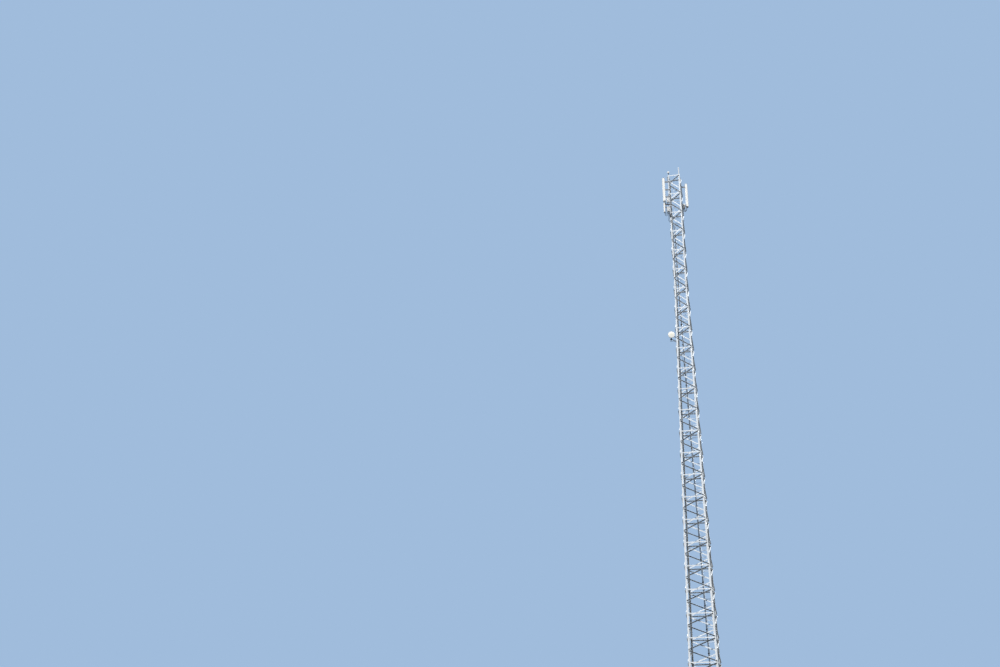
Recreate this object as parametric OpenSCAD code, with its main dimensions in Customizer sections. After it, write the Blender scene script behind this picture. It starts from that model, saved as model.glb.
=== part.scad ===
// Square lattice tower for a rural cell site: four angle legs in four sections, single zigzag
// bracing with a horizontal at every bay, a ladder with its cables on the back face, two panel
// antennas with their radios on opposite legs, and a small microwave dish lower down.
// The straight top section stands on three tapered ones. Millimetres, +Z up, origin on the tower's
// axis in the plane of the base plates' undersides. The front face looks towards -Y.

/* [Tower] */
// Height of one bay, from one horizontal to the next
bay_h = 1000; // [850:10:1200]
// Bays in each of the four sections
bays = 6; // [5:1:7]
// Width over the legs at the ground
base_w = 1240; // [1030:10:1490]
// Width over the legs in the straight top section
top_w = 570; // [500:10:690]
// Height of each leg splice above the horizontal below it
splice_rise = 250; // [220:10:280]

/* [Leg angles] */
// Flange width of the leg angles, lowest section first
leg_flange = [80, 70, 70, 60]; // [55:5:90]
// Thickness of the leg angles, lowest section first
leg_t = [8, 7, 7, 6]; // [5:1:10]
// Gap between the ends of two leg angles at a splice
leg_gap = 4; // [2:1:8]
// Length of a splice plate
splice_len = 210; // [160:10:220]
// Thickness of a splice plate
splice_t = 8; // [6:1:10]

/* [Bracing] */
// Flange width of the bracing angles
brace = 45; // [35:1:50]
// Thickness of the bracing angles
brace_t = 4; // [3:1:6]
// Length of a bracing angle past its end bolt
brace_end = 20; // [18:1:24]

/* [Base plates] */
// Side of a square base plate
plate_w = 300; // [260:10:340]
// Thickness of a base plate
plate_t = 20; // [15:1:30]
// Distance between the anchor holes of one plate
plate_pitch = 220; // [190:10:260]
// Diameter of an anchor hole
plate_hole = 27; // [22:1:33]
// Height of the stiffeners on a base plate
gusset_h = 160; // [100:10:200]

/* [Ladder] */
// Width of the ladder over its side bars
ladder_w = 340; // [300:10:360]
// Distance from the back face to the ladder's side bars
ladder_off = 190; // [180:5:230]
// Depth of a side bar
stile = 50; // [40:5:60]
// Thickness of a side bar
stile_t = 8; // [6:1:12]
// Diameter of a rung
rung_d = 20; // [18:1:25]
// Distance between rungs
rung_pitch = 300; // [250:10:350]

/* [Cables] */
// Diameter of a feeder cable
cable_d = 12; // [10:1:15]
// Diameter of a jumper cable
jumper_d = 15; // [12:1:17]

/* [Antennas] */
// Length of the two large panel antennas
panel_h = 1250; // [1100:10:1400]
// Width of the two large panel antennas
panel_w = 180; // [160:5:210]
// Depth of the two large panel antennas
panel_d = 115; // [100:5:130]
// Length of the small antenna under the left one
small_h = 490; // [420:10:580]
// Width of the small antenna
small_w = 120; // [100:5:140]
// Depth of the small antenna
small_d = 70; // [60:5:85]
// Distance from the tower's top to the top of the left antenna
left_drop = 200; // [170:10:240]
// Distance from the tower's top to the top of the right antenna
right_drop = 200; // [170:10:240]
// Diameter of the pipes that carry the panels
pipe_d = 60; // [48:2:76]
// Diameter of the microwave dish
dish_d = 300; // [280:10:400]

/* [Hidden] */
$fn = 48;

steel = [0.74, 0.77, 0.78];
white = [0.93, 0.93, 0.90];
black = [0.13, 0.13, 0.14];
grey = [0.72, 0.73, 0.73];

sections = 4;
section_h = bays * bay_h;
tower_h = sections * section_h;
// The taper ends at the splice under the top section.
kink_z = (sections - 1) * section_h + splice_rise;
slope = (base_w - top_w) / 2 / kink_z;
leg_over = 40;
bolt_room = 14;
// Clearance round a pipe or a cable in its clamp, and between two bolted faces.
fit = 0.3;
film = 0.1;
// How far a shape runs into or past its neighbour, so that the two join or cut cleanly.
lap = 1;

plate_in = 35;
gusset_t = 8;
gusset_lip = 12;
gusset_edge = 10;
splice_in = 3;
brace_cut = 5;

ladder_edge = 90;
ladder_foot = 300;
ladder_gap = 20;
cleat = 40;
cleat_t = 5;
cleat_in = 10;
cables = 4;
cable_edge = 8;
cable_gap = 4;
cable_pitch = cable_d + cable_gap;
clamp_w = cables * cable_pitch + 2 * cable_edge;
clamp_d = cable_d + 12;
clamp_h = 50;
clamp_rise = 0.47;
cord_sides = 8;
cord_bend = 60;

pipe_t = 4;
pipe_gap = 60;
pipe_drop = 90;
pipe_over = 60;
clamp_t = 8;
// The pipe of the front left leg. The right antenna's is the same, turned half round.
pipe_at = [-top_w / 2 + leg_flange[3] / 2, -top_w / 2 - pipe_d / 2 - pipe_gap];
saddles = [1, 2];
saddle_h = 50;
saddle_rise = -90;
panel_turn = 194;
panel_gap = 170;
panel_corner = 14;
cap_h = 14;
cap_lip = 6;
rim = 22;
recess = 4;
bracket_h = 60;
bracket_side = 4;
bracket_room = (bracket_h + saddle_h) / 2 + 10;
arm_y = 10;
port_d = 22;
port_h = 24;
large_ports = 4;
small_ports = 2;
small_gap = 90;
// The fronts of the large and the small panel stand in one plane.
small_out = panel_gap + panel_d - small_d;
left_low = tower_h - left_drop - panel_h;
small_top = left_low - small_gap;
small_low = small_top - small_h;
right_low = tower_h - right_drop - panel_h;
left_brackets = [left_low + panel_h - 180, left_low + panel_h - 610, left_low + 250];
small_brackets = [small_top - 72, small_top - 220];

radio_w = 130;
radio_h = 240;
radio_d = 90;
radio_body = 50;
radio_corner = 10;
radio_gap = 36;
radio_side = 75;
radio_ports = [-48, -24, 0, 24, 48];
radio_port_d = 19;
radio_holds = [35, 160];
hold_h = 40;
hold_w = 90;
fins = 7;
fin_t = 5;
fin_in = 14;
handle_w = 60;
handle_t = 12;
handle_h = 27;
handle_leg = 8;
left_radio_at = [pipe_at.x - radio_side, pipe_at.y - pipe_d / 2 - radio_gap];
upper_radio_z = left_low - 80;
lower_radio_z = left_low - 570;
right_radio_z = right_low - 40;
// The lower clamp of the right panel stands halfway between the two that hold the radio.
right_brackets = [
    right_low + panel_h - 150,
    right_radio_z + (radio_holds[0] + hold_h + radio_holds[1]) / 2,
];

dish_z = tower_h - 8.53 * bay_h;
dish_turn = 280;
dish_pipe_d = 50;
dish_pipe_low = -200;
dish_pipe_h = 330;
dish_pipe = [-half(dish_z) - 200, -half(dish_z) - 320];
dish_arms = [-137, 58];
arm_t = 8;
arm_h = 50;
arm_in = 4;
dish_clamp_w = 80;
dish_clamp_h = 60;
dish_off = 150;
dish_radio_w = 200;
dish_radio_d = 90;
dish_radio_in = 12;
dish_plate_t = 14;
dish_fin_t = 6;
dish_port_d = 11;
collar_d = 64;
hub_r = 44;
hub_t = 8;
bowl = 50;
bowl_edge = 6;
bowl_lip = 12;
rim_w = 60;
dome = 14;
dome_steps = 6;

mast_d = 54;
mast_h = 372;
mast_in = 32;
tip_d = 20;
tip_h = 20;
cap_w = 64;
cap_t = 8;
stem_d = 26;
stem_h = 124;
gps_d = 100;
gps_h = 96;
gps_lip = 6;

// How far the jumpers hang: from the large panels, from the small one, and right of the tower.
upper_sags = [100, 135];
long_sags = [85, 125];
small_sags = [210, 165];
right_sags = [120, 150, 180, 210];
// Where the two long jumpers pass behind the small panel, seen from the pipe: outward and across.
long_paths = [[232, -56], [174, -26]];
// Where the cables of the antennas and of the dish go in through a face, and come out again.
entry_z = tower_h - 2.5 * bay_h;
bundle_top = entry_z - 250;
lower_entry = entry_z - 40;
right_entry = entry_z - 60;
dish_entry = tower_h - 8.75 * bay_h;
dish_exit = tower_h - 9.5 * bay_h;
dish_port = [
    dish_pipe.x + (dish_off - dish_plate_t * 1.5) * cos(dish_turn),
    dish_pipe.y + (dish_off - dish_plate_t * 1.5) * sin(dish_turn),
    dish_z - dish_radio_w / 2 - port_h + lap,
];

function unit(v) = v / norm(v);
// Half the width over the legs at a height.
function half(z) = z < kink_z ? base_w / 2 - slope * z : top_w / 2;
function lean(z) = z < kink_z ? slope : 0;
// Which section's leg angle stands at a height, from 0 for the lowest.
function section_at(z) = min(sections - 1, floor(max(0, z - splice_rise) / section_h));
// Distance of the bolts from the heel of a leg angle.
function gauge(z) = leg_flange[section_at(z)] / 2 + 5;
function bolt_x(z) = half(z) - gauge(z);
function splice_z(joint) = joint * section_h + splice_rise;
// Height of a saddle between a leg and an antenna pipe, clear of the bracing ends on that leg.
function saddle_z(i) = tower_h - i * bay_h + saddle_rise;
// Height of a clamp on an antenna pipe, moved just clear of a saddle that it would meet.
function off_saddles(z) =
    let (near = [for (i = saddles) if (abs(z - saddle_z(i)) < bracket_room) saddle_z(i)])
    len(near) == 0 ? z : near[0] + (z < near[0] ? -bracket_room : bracket_room);
// A bolt on the outer surface of the front face, on its left leg (side -1) or its right leg (1).
function face_bolt(side, z) = [side * bolt_x(z), -half(z), z];
// A point on the outer corner line of the front left leg.
function heel(z) = [-half(z), -half(z), z];
function brace_angle(z) = atan((bay_h / 2) / (2 * bolt_x(z)));
// Half the room that two bracing ends need one above the other on a leg.
function end_room(z) = brace_end * sin(brace_angle(z)) + brace / 2 * cos(brace_angle(z)) + 2;

// Lays X from a to b, with Y as near to inward as it goes.
module lay(a, b, inward) {
    t = unit(b - a);
    n = unit(inward - (inward * t) * t);
    u = cross(t, n);
    multmatrix([
        [t.x, n.x, u.x, a.x],
        [t.y, n.y, u.y, a.y],
        [t.z, n.z, u.z, a.z],
        [0, 0, 0, 1],
    ]) children();
}

// Stands Z from a towards b, with X in the plane of the front or back face.
module stand(a, b) {
    t = unit(b - a);
    n = unit([1, 0, 0] - t.x * t);
    u = cross(t, n);
    multmatrix([
        [n.x, u.x, t.x, a.x],
        [n.y, u.y, t.y, a.y],
        [n.z, u.z, t.z, a.z],
        [0, 0, 0, 1],
    ]) children();
}

module each_corner() {
    for (turn = [0:3])
        rotate(90 * turn) children();
}

// A square with round corners, as one outline.
module round_square(w, d, r) {
    square([w - 2 * r, d], center = true);
    square([w, d - 2 * r], center = true);
    for (x = [-1, 1], y = [-1, 1])
        translate([x * (w / 2 - r), y * (d / 2 - r)]) circle(r);
}

/*
   Legs, splices and base plates
*/

module leg_outline(b, t) {
    polygon([[0, 0], [b, 0], [b, t], [t, t], [t, b], [0, b]]);
}

// The front left leg of a section.
module leg(s) {
    z0 = s == 0 ? 0 : splice_z(s) + leg_gap / 2;
    z1 = s == sections - 1 ? tower_h + leg_over : splice_z(s + 1) - leg_gap / 2;
    difference() {
        stand(heel(z0), heel(z1))
            linear_extrude(norm(heel(z1) - heel(z0)))
                leg_outline(leg_flange[s], leg_t[s]);
        if (s == 0)
            translate([-base_w, -base_w, -base_w]) cube([base_w, base_w, base_w + plate_t]);
    }
}

module section_legs(s) {
    color(steel) each_corner() leg(s);
}

// A plate over the front flange of the front left leg, bent where the taper ends.
module splice_plate(joint) {
    z = splice_z(joint);
    low = z - splice_len / 2;
    high = z + splice_len / 2;
    stretches = abs(z - kink_z) < 1 ? [[low, z, lap], [z, high, 0]] : [[low, high, 0]];
    for (e = stretches)
        stand(heel(e[0]), heel(e[1]))
            translate([splice_in, -splice_t - film, 0])
                cube([leg_flange[joint] - 2 * splice_in, splice_t, norm(heel(e[1]) - heel(e[0])) + e[2]]);
}

module splice_plates(joint) {
    color(steel)
        each_corner() {
            splice_plate(joint);
            mirror([1, -1, 0]) splice_plate(joint);
        }
}

// A stiffener between a base plate and the outside of the front flange.
module gusset() {
    foot = -base_w / 2 + plate_in - plate_w / 2 + gusset_edge;
    top = plate_t + gusset_h;
    translate([-base_w / 2 + plate_in, 0, 0])
        rotate([90, 0, 90])
            linear_extrude(gusset_t)
                polygon([
                    [-half(plate_t), plate_t],
                    [-half(top), top],
                    [-half(top) - gusset_lip, top],
                    [foot, plate_t + gusset_lip],
                    [foot, plate_t],
                ]);
}

module base_plate() {
    c = -base_w / 2 + plate_in;
    difference() {
        translate([c - plate_w / 2, c - plate_w / 2, 0]) cube([plate_w, plate_w, plate_t]);
        for (x = [-1, 1], y = [-1, 1])
            translate([c + x * plate_pitch / 2, c + y * plate_pitch / 2, -lap])
                cylinder(d = plate_hole, h = plate_t + 2 * lap);
    }
    gusset();
    mirror([1, -1, 0]) gusset();
}

module base_plates() {
    color(steel) each_corner() base_plate();
}

/*
   Bracing
*/

// A diagonal on the outside of the leg flanges, its free flange outward along the top edge.
module diagonal(a, b) {
    lay(a, b, [0, 1, -(lean(a.z) + lean(b.z)) / 2])
        translate([-brace_end, -film, 0])
            rotate([90, 0, 90])
                linear_extrude(norm(b - a) + 2 * brace_end)
                    polygon([
                        [0, -brace / 2],
                        [0, brace / 2],
                        [-brace, brace / 2],
                        [-brace, brace / 2 - brace_t],
                        [-brace_t, brace / 2 - brace_t],
                        [-brace_t, -brace / 2],
                    ]);
}

// A horizontal on the inside of the leg flanges, its free flange inward and cut back at both ends,
// where the horizontal of the next face comes to the same corner.
module horizontal(z) {
    a = face_bolt(-1, z);
    b = face_bolt(1, z);
    t = leg_t[section_at(z)] + film;
    run = norm(b - a);
    cut = t + brace + brace_cut - gauge(z);
    lay(a, b, [0, 1, -lean(z)]) {
        translate([-brace_end + 2, t, -brace / 2])
            cube([run + 2 * brace_end - 4, brace_t, brace]);
        translate([cut, t, brace / 2 - brace_t])
            cube([run - 2 * cut, brace, brace_t]);
    }
}

// One bay of the front face. The zigzag meets the right leg at the horizontals, and the left leg
// halfway between them. Its lowest end stands clear of the base plate.
module bay(i) {
    low = i * bay_h;
    mid = low + bay_h / 2;
    top = low + bay_h;
    right_low = low + end_room(low) + bolt_room + (i == 0 ? plate_t + gusset_h : 0);
    diagonal(face_bolt(-1, mid - end_room(mid)), face_bolt(1, right_low));
    diagonal(face_bolt(-1, mid + end_room(mid)), face_bolt(1, top - end_room(top) - bolt_room));
    horizontal(top);
}

// The bracing of a section on one face: 0 front, 1 right, 2 back, 3 left.
module bracing(s, face) {
    color(steel)
        rotate(90 * face)
            for (i = [s * bays : (s + 1) * bays - 1])
                bay(i);
}

/*
   Ladder, cable clamps and cables
*/

// The inner edge of the ladder's right side bar, behind the back right leg.
function ladder_line(z) = [half(z) - ladder_edge, half(z) + ladder_off, z];

module ladder(z0, z1) {
    run = norm(ladder_line(z1) - ladder_line(z0));
    first = ceil(z0 / rung_pitch) * rung_pitch + rung_pitch / 2 - z0;
    color(steel)
        stand(ladder_line(z0), ladder_line(z1)) {
            for (x = [-stile_t, -ladder_w])
                translate([x, 0, 0]) cube([stile_t, stile, run]);
            for (z = [first : rung_pitch : run - rung_d])
                translate([stile_t - ladder_w, stile / 2, z])
                    rotate([0, 90, 0])
                        cylinder(d = rung_d, h = ladder_w - 2 * stile_t);
        }
}

// An angle beside a side bar, with its foot on the horizontal inside the leg flanges.
module ladder_cleat(x, depth) {
    translate([x + film, -ladder_off - depth, -cleat / 2]) {
        cube([cleat_t, ladder_off + depth + stile - cleat_in, cleat]);
        translate([cleat_t - cleat, 0, 0]) cube([cleat, cleat_t, cleat]);
    }
}

module ladder_brackets() {
    color(steel)
        for (i = [1 : sections * bays]) {
            z = i * bay_h;
            stand(ladder_line(z), ladder_line(z + 1)) {
                ladder_cleat(0, leg_t[section_at(z)]);
                mirror([1, 0, 0]) ladder_cleat(ladder_w, leg_t[section_at(z)]);
            }
        }
}

// A block on the outside of the left side bar, with one bore for each cable.
module cable_clamp(z) {
    stand(ladder_line(z), ladder_line(z + 1))
        difference() {
            translate([-ladder_w - clamp_w, (stile - clamp_d) / 2, -clamp_h / 2])
                cube([clamp_w, clamp_d, clamp_h]);
            for (i = [0 : cables - 1])
                translate([cable_x(i), stile / 2, -clamp_h])
                    cylinder(d = cable_d + 2 * fit, h = 2 * clamp_h);
        }
}

module cable_clamps() {
    color(black)
        for (i = [0 : floor(bundle_top / bay_h) - 1])
            cable_clamp((i + clamp_rise) * bay_h);
}

/*
   Panel antennas and radios
*/

// Turns about the pipe of the front left leg, so that X is the way the panel looks.
module at_pipe() {
    translate([pipe_at.x, pipe_at.y, 0]) rotate(panel_turn) children();
}

// Flat behind and round in front.
module panel_outline(w, d) {
    crown = 0.4 * d;
    r = (w * w / 4 + crown * crown) / (2 * crown);
    intersection() {
        round_square(d, w, panel_corner);
        translate([d / 2 - r, 0]) circle(r, $fn = 96);
    }
}

// Distance of a panel's port from the middle of its width.
function port_y(k, count, w) = (k - (count - 1) / 2) * w / count;

// A panel with its end caps and its ports, its back a named distance from the pipe.
module panel(w, d, low, high, gap, ports) {
    at_pipe() {
        color(white)
            translate([pipe_d / 2 + gap + d / 2, 0, 0])
                difference() {
                    union() {
                        translate([0, 0, low + cap_h])
                            linear_extrude(high - low - 2 * cap_h) panel_outline(w, d);
                        for (z = [low, high - cap_h])
                            translate([0, 0, z])
                                linear_extrude(cap_h) panel_outline(w + cap_lip, d + cap_lip);
                    }
                    translate([-d / 2 - lap, -w / 2 + rim, low + cap_h + rim])
                        cube([recess + lap, w - 2 * rim, high - low - 2 * (cap_h + rim)]);
                }
        color(grey)
            for (k = [0 : ports - 1])
                translate([pipe_d / 2 + gap + d / 4, port_y(k, ports, w), low - port_h])
                    cylinder(d = port_d, h = port_h);
    }
}

module large_panel(low) {
    panel(panel_w, panel_d, low, low + panel_h, panel_gap, large_ports);
}

module small_panel() {
    panel(small_w, small_d, small_low, small_top, small_out, small_ports);
}

// A clamp round the pipe, with two arms to a plate in the recess of the panel's back.
module panel_bracket(w, z, gap) {
    reach = pipe_d / 2 + gap + recess;
    plate = w - 2 * rim - 2 * bracket_side;
    translate([0, 0, z - bracket_h / 2])
        difference() {
            union() {
                cylinder(d = pipe_d + 2 * clamp_t, h = bracket_h);
                for (side = [-1, 1])
                    translate([0, side * arm_y - clamp_t / 2, 0]) cube([reach, clamp_t, bracket_h]);
                translate([reach - clamp_t, -plate / 2, 0]) cube([clamp_t, plate, bracket_h]);
            }
            translate([0, 0, -lap]) cylinder(d = pipe_d + 2 * fit, h = bracket_h + 2 * lap);
        }
}

module panel_brackets(w, heights, gap) {
    color(steel)
        at_pipe()
            for (z = heights) panel_bracket(w, off_saddles(z), gap);
}

// A pipe that stands in two saddles on the leg's flange, with what hangs lowest on it.
module antenna_pipe(lowest) {
    low = min(lowest, saddle_z(2)) - pipe_over;
    color(steel) {
        translate([pipe_at.x, pipe_at.y, low])
            difference() {
                cylinder(d = pipe_d, h = tower_h - pipe_drop - low);
                translate([0, 0, -lap]) cylinder(d = pipe_d - 2 * pipe_t, h = tower_h);
            }
        for (i = saddles) saddle(pipe_at, top_w / 2, pipe_d, leg_flange[3], saddle_z(i));
    }
}

// A block between the front flange and a pipe that stands in front of it.
module saddle(at, face, d, w, z) {
    translate([0, 0, z - saddle_h / 2])
        difference() {
            translate([at.x - w / 2, at.y + d / 4, 0])
                cube([w, -face - at.y - d / 4, saddle_h]);
            translate([at.x, at.y, -lap]) cylinder(d = d + 2 * fit, h = saddle_h + 2 * lap);
        }
}

// A radio with its back at Y = 0: a flat housing with fins in front, a handle and its ports.
module radio() {
    fin_pitch = (radio_w - 2 * fin_in - fin_t) / (fins - 1);
    color(grey) {
        translate([0, -radio_body / 2, 0])
            linear_extrude(radio_h) round_square(radio_w, radio_body, radio_corner);
        for (i = [0 : fins - 1])
            translate([-radio_w / 2 + fin_in + i * fin_pitch, -radio_d, fin_in])
                cube([fin_t, radio_d - radio_body + lap, radio_h - 2 * fin_in]);
        translate([0, -radio_body / 2, radio_h - lap])
            difference() {
                translate([-handle_w / 2, -handle_t / 2, 0]) cube([handle_w, handle_t, handle_h]);
                translate([-handle_w / 2 + handle_leg, -handle_t, -lap])
                    cube([handle_w - 2 * handle_leg, 2 * handle_t, handle_h - handle_leg + lap]);
            }
        for (x = radio_ports)
            translate([x, -radio_body / 2, -port_h]) cylinder(d = radio_port_d, h = port_h + lap);
    }
}

module left_radio(z) {
    translate([left_radio_at.x, left_radio_at.y, z]) radio();
}

// Two clamps round the pipe, each with a bar to the radio's back.
module radio_bracket(z) {
    for (end = radio_holds)
        translate([0, 0, z + end])
            difference() {
                union() {
                    translate([pipe_at.x, pipe_at.y, 0])
                        cylinder(d = pipe_d + 2 * clamp_t, h = hold_h);
                    translate([left_radio_at.x - hold_w / 2, left_radio_at.y, 0])
                        cube([radio_side + hold_w / 2, radio_gap + clamp_t, hold_h]);
                }
                translate([pipe_at.x, pipe_at.y, -lap])
                    cylinder(d = pipe_d + 2 * fit, h = hold_h + 2 * lap);
            }
}

module radio_brackets() {
    color(steel) {
        radio_bracket(upper_radio_z);
        radio_bracket(lower_radio_z);
        rotate(180) radio_bracket(right_radio_z);
    }
}

/*
   Microwave dish
*/

// X is the way the dish looks, with the origin on the axis of its pipe.
module at_dish() {
    translate([dish_pipe.x, dish_pipe.y, dish_z]) rotate(dish_turn) children();
}

// A shallow bowl with a deep rim and a domed cover, one closed housing.
module dish_antenna() {
    r = dish_d / 2;
    inner = r - bowl_edge;
    color(white)
        at_dish()
            translate([dish_off, 0, 0])
                rotate([0, 90, 0])
                    rotate_extrude($fn = 96)
                        polygon([
                            [0, 0],
                            [hub_r, 0],
                            for (k = [0 : dome_steps])
                                let (f = k / dome_steps)
                                [hub_r + (inner - hub_r) * f, hub_t + bowl * f * f],
                            [r, bowl + bowl_lip],
                            [r, bowl + rim_w],
                            for (k = [dome_steps : -1 : 0])
                                let (f = k / dome_steps)
                                [inner * f, bowl + rim_w + dome * (1 - f * f)],
                        ]);
}

// The radio behind the dish: a collar, a square plate, a housing of fins and a port below.
module dish_radio() {
    fin_run = dish_radio_w - 2 * dish_radio_in;
    color(grey)
        at_dish()
            translate([dish_off - dish_radio_d, 0, 0])
                rotate([0, 90, 0]) {
                    translate([0, 0, dish_radio_d - dish_plate_t]) cylinder(d = collar_d, h = dish_plate_t);
                    translate([0, 0, dish_radio_d - 2 * dish_plate_t])
                        linear_extrude(dish_plate_t)
                            round_square(dish_radio_w, dish_radio_w, 2 * radio_corner);
                    for (i = [-4 : 4])
                        translate([-fin_run / 2, (i * dish_radio_w - 5 * dish_fin_t) / 10, 0])
                            cube([fin_run, dish_fin_t, dish_radio_d - 2 * dish_plate_t + lap]);
                    translate([dish_radio_w / 2 - lap, 0, dish_radio_d - dish_plate_t * 1.5])
                        rotate([0, 90, 0]) cylinder(d = dish_port_d, h = port_h);
                }
}

// The dish's own pipe, with two arms from the leg and the clamp that holds the radio.
module dish_mount() {
    color(steel) {
        translate([dish_pipe.x, dish_pipe.y, dish_z + dish_pipe_low])
            difference() {
                cylinder(d = dish_pipe_d, h = dish_pipe_h);
                translate([0, 0, -lap]) cylinder(d = dish_pipe_d - 2 * pipe_t, h = dish_pipe_h + 2 * lap);
            }
        for (rise = dish_arms) dish_arm(dish_z + rise);
        at_dish() dish_clamp();
    }
}

// A bar from a foot on the leg's side flange out to a clamp round the dish's pipe.
module dish_arm(z) {
    face = half(z - arm_h / 2) + film;
    foot = [-face - arm_t * 0.75, -face + 2 * arm_t];
    run = dish_pipe - foot;
    translate([0, 0, z - arm_h / 2])
        difference() {
            union() {
                translate([-face - arm_t, -face, 0]) cube([arm_t, leg_flange[2], arm_h]);
                translate([foot.x, foot.y, 0])
                    rotate(atan2(run.y, run.x))
                        translate([0, -arm_t / 2, arm_in])
                            cube([norm(run), arm_t, arm_h - 2 * arm_in]);
                translate([dish_pipe.x, dish_pipe.y, 0])
                    cylinder(d = dish_pipe_d + 2 * clamp_t, h = arm_h);
            }
            translate([dish_pipe.x, dish_pipe.y, -lap])
                cylinder(d = dish_pipe_d + 2 * fit, h = arm_h + 2 * lap);
        }
}

// Holds the dish's radio to its pipe.
module dish_clamp() {
    translate([0, 0, -dish_clamp_h / 2])
        difference() {
            union() {
                cylinder(d = dish_pipe_d + 2 * clamp_t, h = dish_clamp_h);
                translate([0, -dish_clamp_w / 2, 0])
                    cube([dish_off - dish_radio_d, dish_clamp_w, dish_clamp_h]);
            }
            translate([0, 0, -lap]) cylinder(d = dish_pipe_d + 2 * fit, h = dish_clamp_h + 2 * lap);
        }
}

/*
   On top
*/

// A pipe on a cap plate, on top of the front right leg.
module lightning_mast() {
    in = top_w / 2 - mast_in;
    color(steel)
        translate([in, -in, tower_h + leg_over]) {
            translate([-cap_w / 2, -cap_w / 2, 0]) cube([cap_w, cap_w, cap_t]);
            translate([0, 0, cap_t - lap]) cylinder(d = mast_d, h = mast_h - tip_h + lap);
            translate([0, 0, cap_t + mast_h - tip_h]) cylinder(d1 = mast_d, d2 = tip_d, h = tip_h);
        }
}

// A small dome on a stem, on a cap plate on top of the front left leg.
module timing_antenna() {
    in = top_w / 2 - mast_in;
    translate([-in, -in, tower_h + leg_over]) {
        color(black) {
            translate([-cap_w / 2, -cap_w / 2, 0]) cube([cap_w, cap_w, cap_t]);
            cylinder(d = stem_d, h = cap_t + stem_h);
        }
        color(white)
            translate([0, 0, cap_t + stem_h - lap])
                rotate_extrude()
                    polygon([
                        [0, 0],
                        [gps_d / 2 - gps_lip, 0],
                        [gps_d / 2, gps_lip],
                        for (a = [0 : 15 : 90])
                            [gps_d / 2 * cos(a), gps_h * (0.4 + 0.6 * sin(a))],
                    ]);
    }
}

/*
   Cords: jumpers between panels and radios, and feeders down the ladder
*/

// Rounds the inner corners of a route with a curve of some steps.
function bend(p, r, steps) = [
    for (i = [0 : len(p) - 1])
        if (i == 0 || i == len(p) - 1) p[i]
        else
            let (
                to_last = p[i - 1] - p[i],
                to_next = p[i + 1] - p[i],
                reach = min(r, norm(to_last) / 2.1, norm(to_next) / 2.1)
            )
            for (k = [0 : steps])
                let (f = k / steps)
                p[i] + reach * ((1 - f) * (1 - f) * unit(to_last) + f * f * unit(to_next))
];

// The direction of a route at each of its points.
function headings(p) = [
    for (i = [0 : len(p) - 1])
        unit(p[min(i + 1, len(p) - 1)] - p[max(i - 1, 0)])
];

// Carries a side vector along the route without twist.
function carry(h, i, side) =
    let (flat = unit(side - (side * h[i]) * h[i]))
    i == len(h) - 1 ? [flat] : concat([flat], carry(h, i + 1, flat));

// A round cord along a route.
module cord(route, d) {
    h = headings(route);
    side = carry(h, 0, [1, 0, 0.3]);
    last = len(route) - 1;
    points = [
        for (i = [0 : last], k = [0 : cord_sides - 1])
            let (a = 360 * k / cord_sides)
            route[i] + d / 2 * (cos(a) * side[i] + sin(a) * cross(h[i], side[i]))
    ];
    walls = [
        for (i = [0 : last - 1], k = [0 : cord_sides - 1])
            let (n = (k + 1) % cord_sides, low = i * cord_sides, up = low + cord_sides)
            [low + k, up + k, up + n, low + n]
    ];
    ends = [
        [for (k = [0 : cord_sides - 1]) k],
        [for (k = [cord_sides - 1 : -1 : 0]) last * cord_sides + k],
    ];
    polyhedron(points, concat(ends, walls), convexity = 6);
}

// A point beside the pipe of the front left leg: X is the way the panel looks, Y is across it.
function from_pipe(x, y, z) = [
    pipe_at.x + x * cos(panel_turn) - y * sin(panel_turn),
    pipe_at.y + x * sin(panel_turn) + y * cos(panel_turn),
    z,
];
// The lower ends of the ports: of the large left panel, the small one, and a radio on that pipe.
function large_port(k, low) =
    from_pipe(pipe_d / 2 + panel_gap + panel_d / 4, port_y(k, large_ports, panel_w), low - port_h);
function small_port(k) =
    from_pipe(pipe_d / 2 + small_out + small_d / 4, port_y(k, small_ports, small_w), small_low - port_h);
function radio_port(i, z) =
    [left_radio_at.x + radio_ports[i], left_radio_at.y - radio_body / 2, z - port_h];
function down(p, h) = p - [0, 0, h];
function spin(p) = [-p.x, -p.y, p.z];

// A jumper hangs in a loop between two ports that look down.
function loop(a, b, sag) = [
    a,
    down(a, sag * 0.6),
    [(a.x + b.x) / 2, (a.y + b.y) / 2, min(a.z, b.z) - sag],
    down(b, sag * 0.6),
    b,
];

// From the large left panel down behind the small one, and up into the lower radio.
function long_loop(a, b, k) =
    let (at = long_paths[k], sag = long_sags[k])
    [
        a,
        down(a, 20),
        from_pipe(at.x + 8, at.y, left_low - 200),
        from_pipe(at.x, at.y, small_low + 80),
        from_pipe(at.x - 12, at.y + 24, small_low - sag * 0.5),
        (from_pipe(at.x - 20, at.y + 45, small_low) + b) / 2 - [0, 0, sag],
        down(b, sag * 0.55),
        b,
    ];

module jumper(route) {
    cord(bend(route, cord_bend, 4), jumper_d);
}

module jumper_cables() {
    color(black) {
        for (k = [0, 1]) {
            jumper(loop(large_port(3 - k, left_low), radio_port(k, upper_radio_z), upper_sags[k]));
            jumper(long_loop(large_port(k, left_low), radio_port(k, lower_radio_z), k));
            jumper(loop(small_port(k), radio_port(3 - k, lower_radio_z), small_sags[k]));
        }
        for (k = [0 : large_ports - 1])
            rotate(180)
                jumper(loop(large_port(3 - k, right_low), radio_port(k, right_radio_z), right_sags[k]));
    }
}

// A point on cable i of the bundle beside the ladder.
function cable_x(i) = -ladder_w - cable_edge - cable_pitch * (i + 0.5);
function bundle(i, z) = ladder_line(z) + [cable_x(i), stile / 2, 0];

// Down the ladder to the ground.
function down_ladder(i, z) = concat(
    [bundle(i, z)],
    z > kink_z ? [bundle(i, kink_z)] : [],
    [bundle(i, 0)]
);

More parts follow.
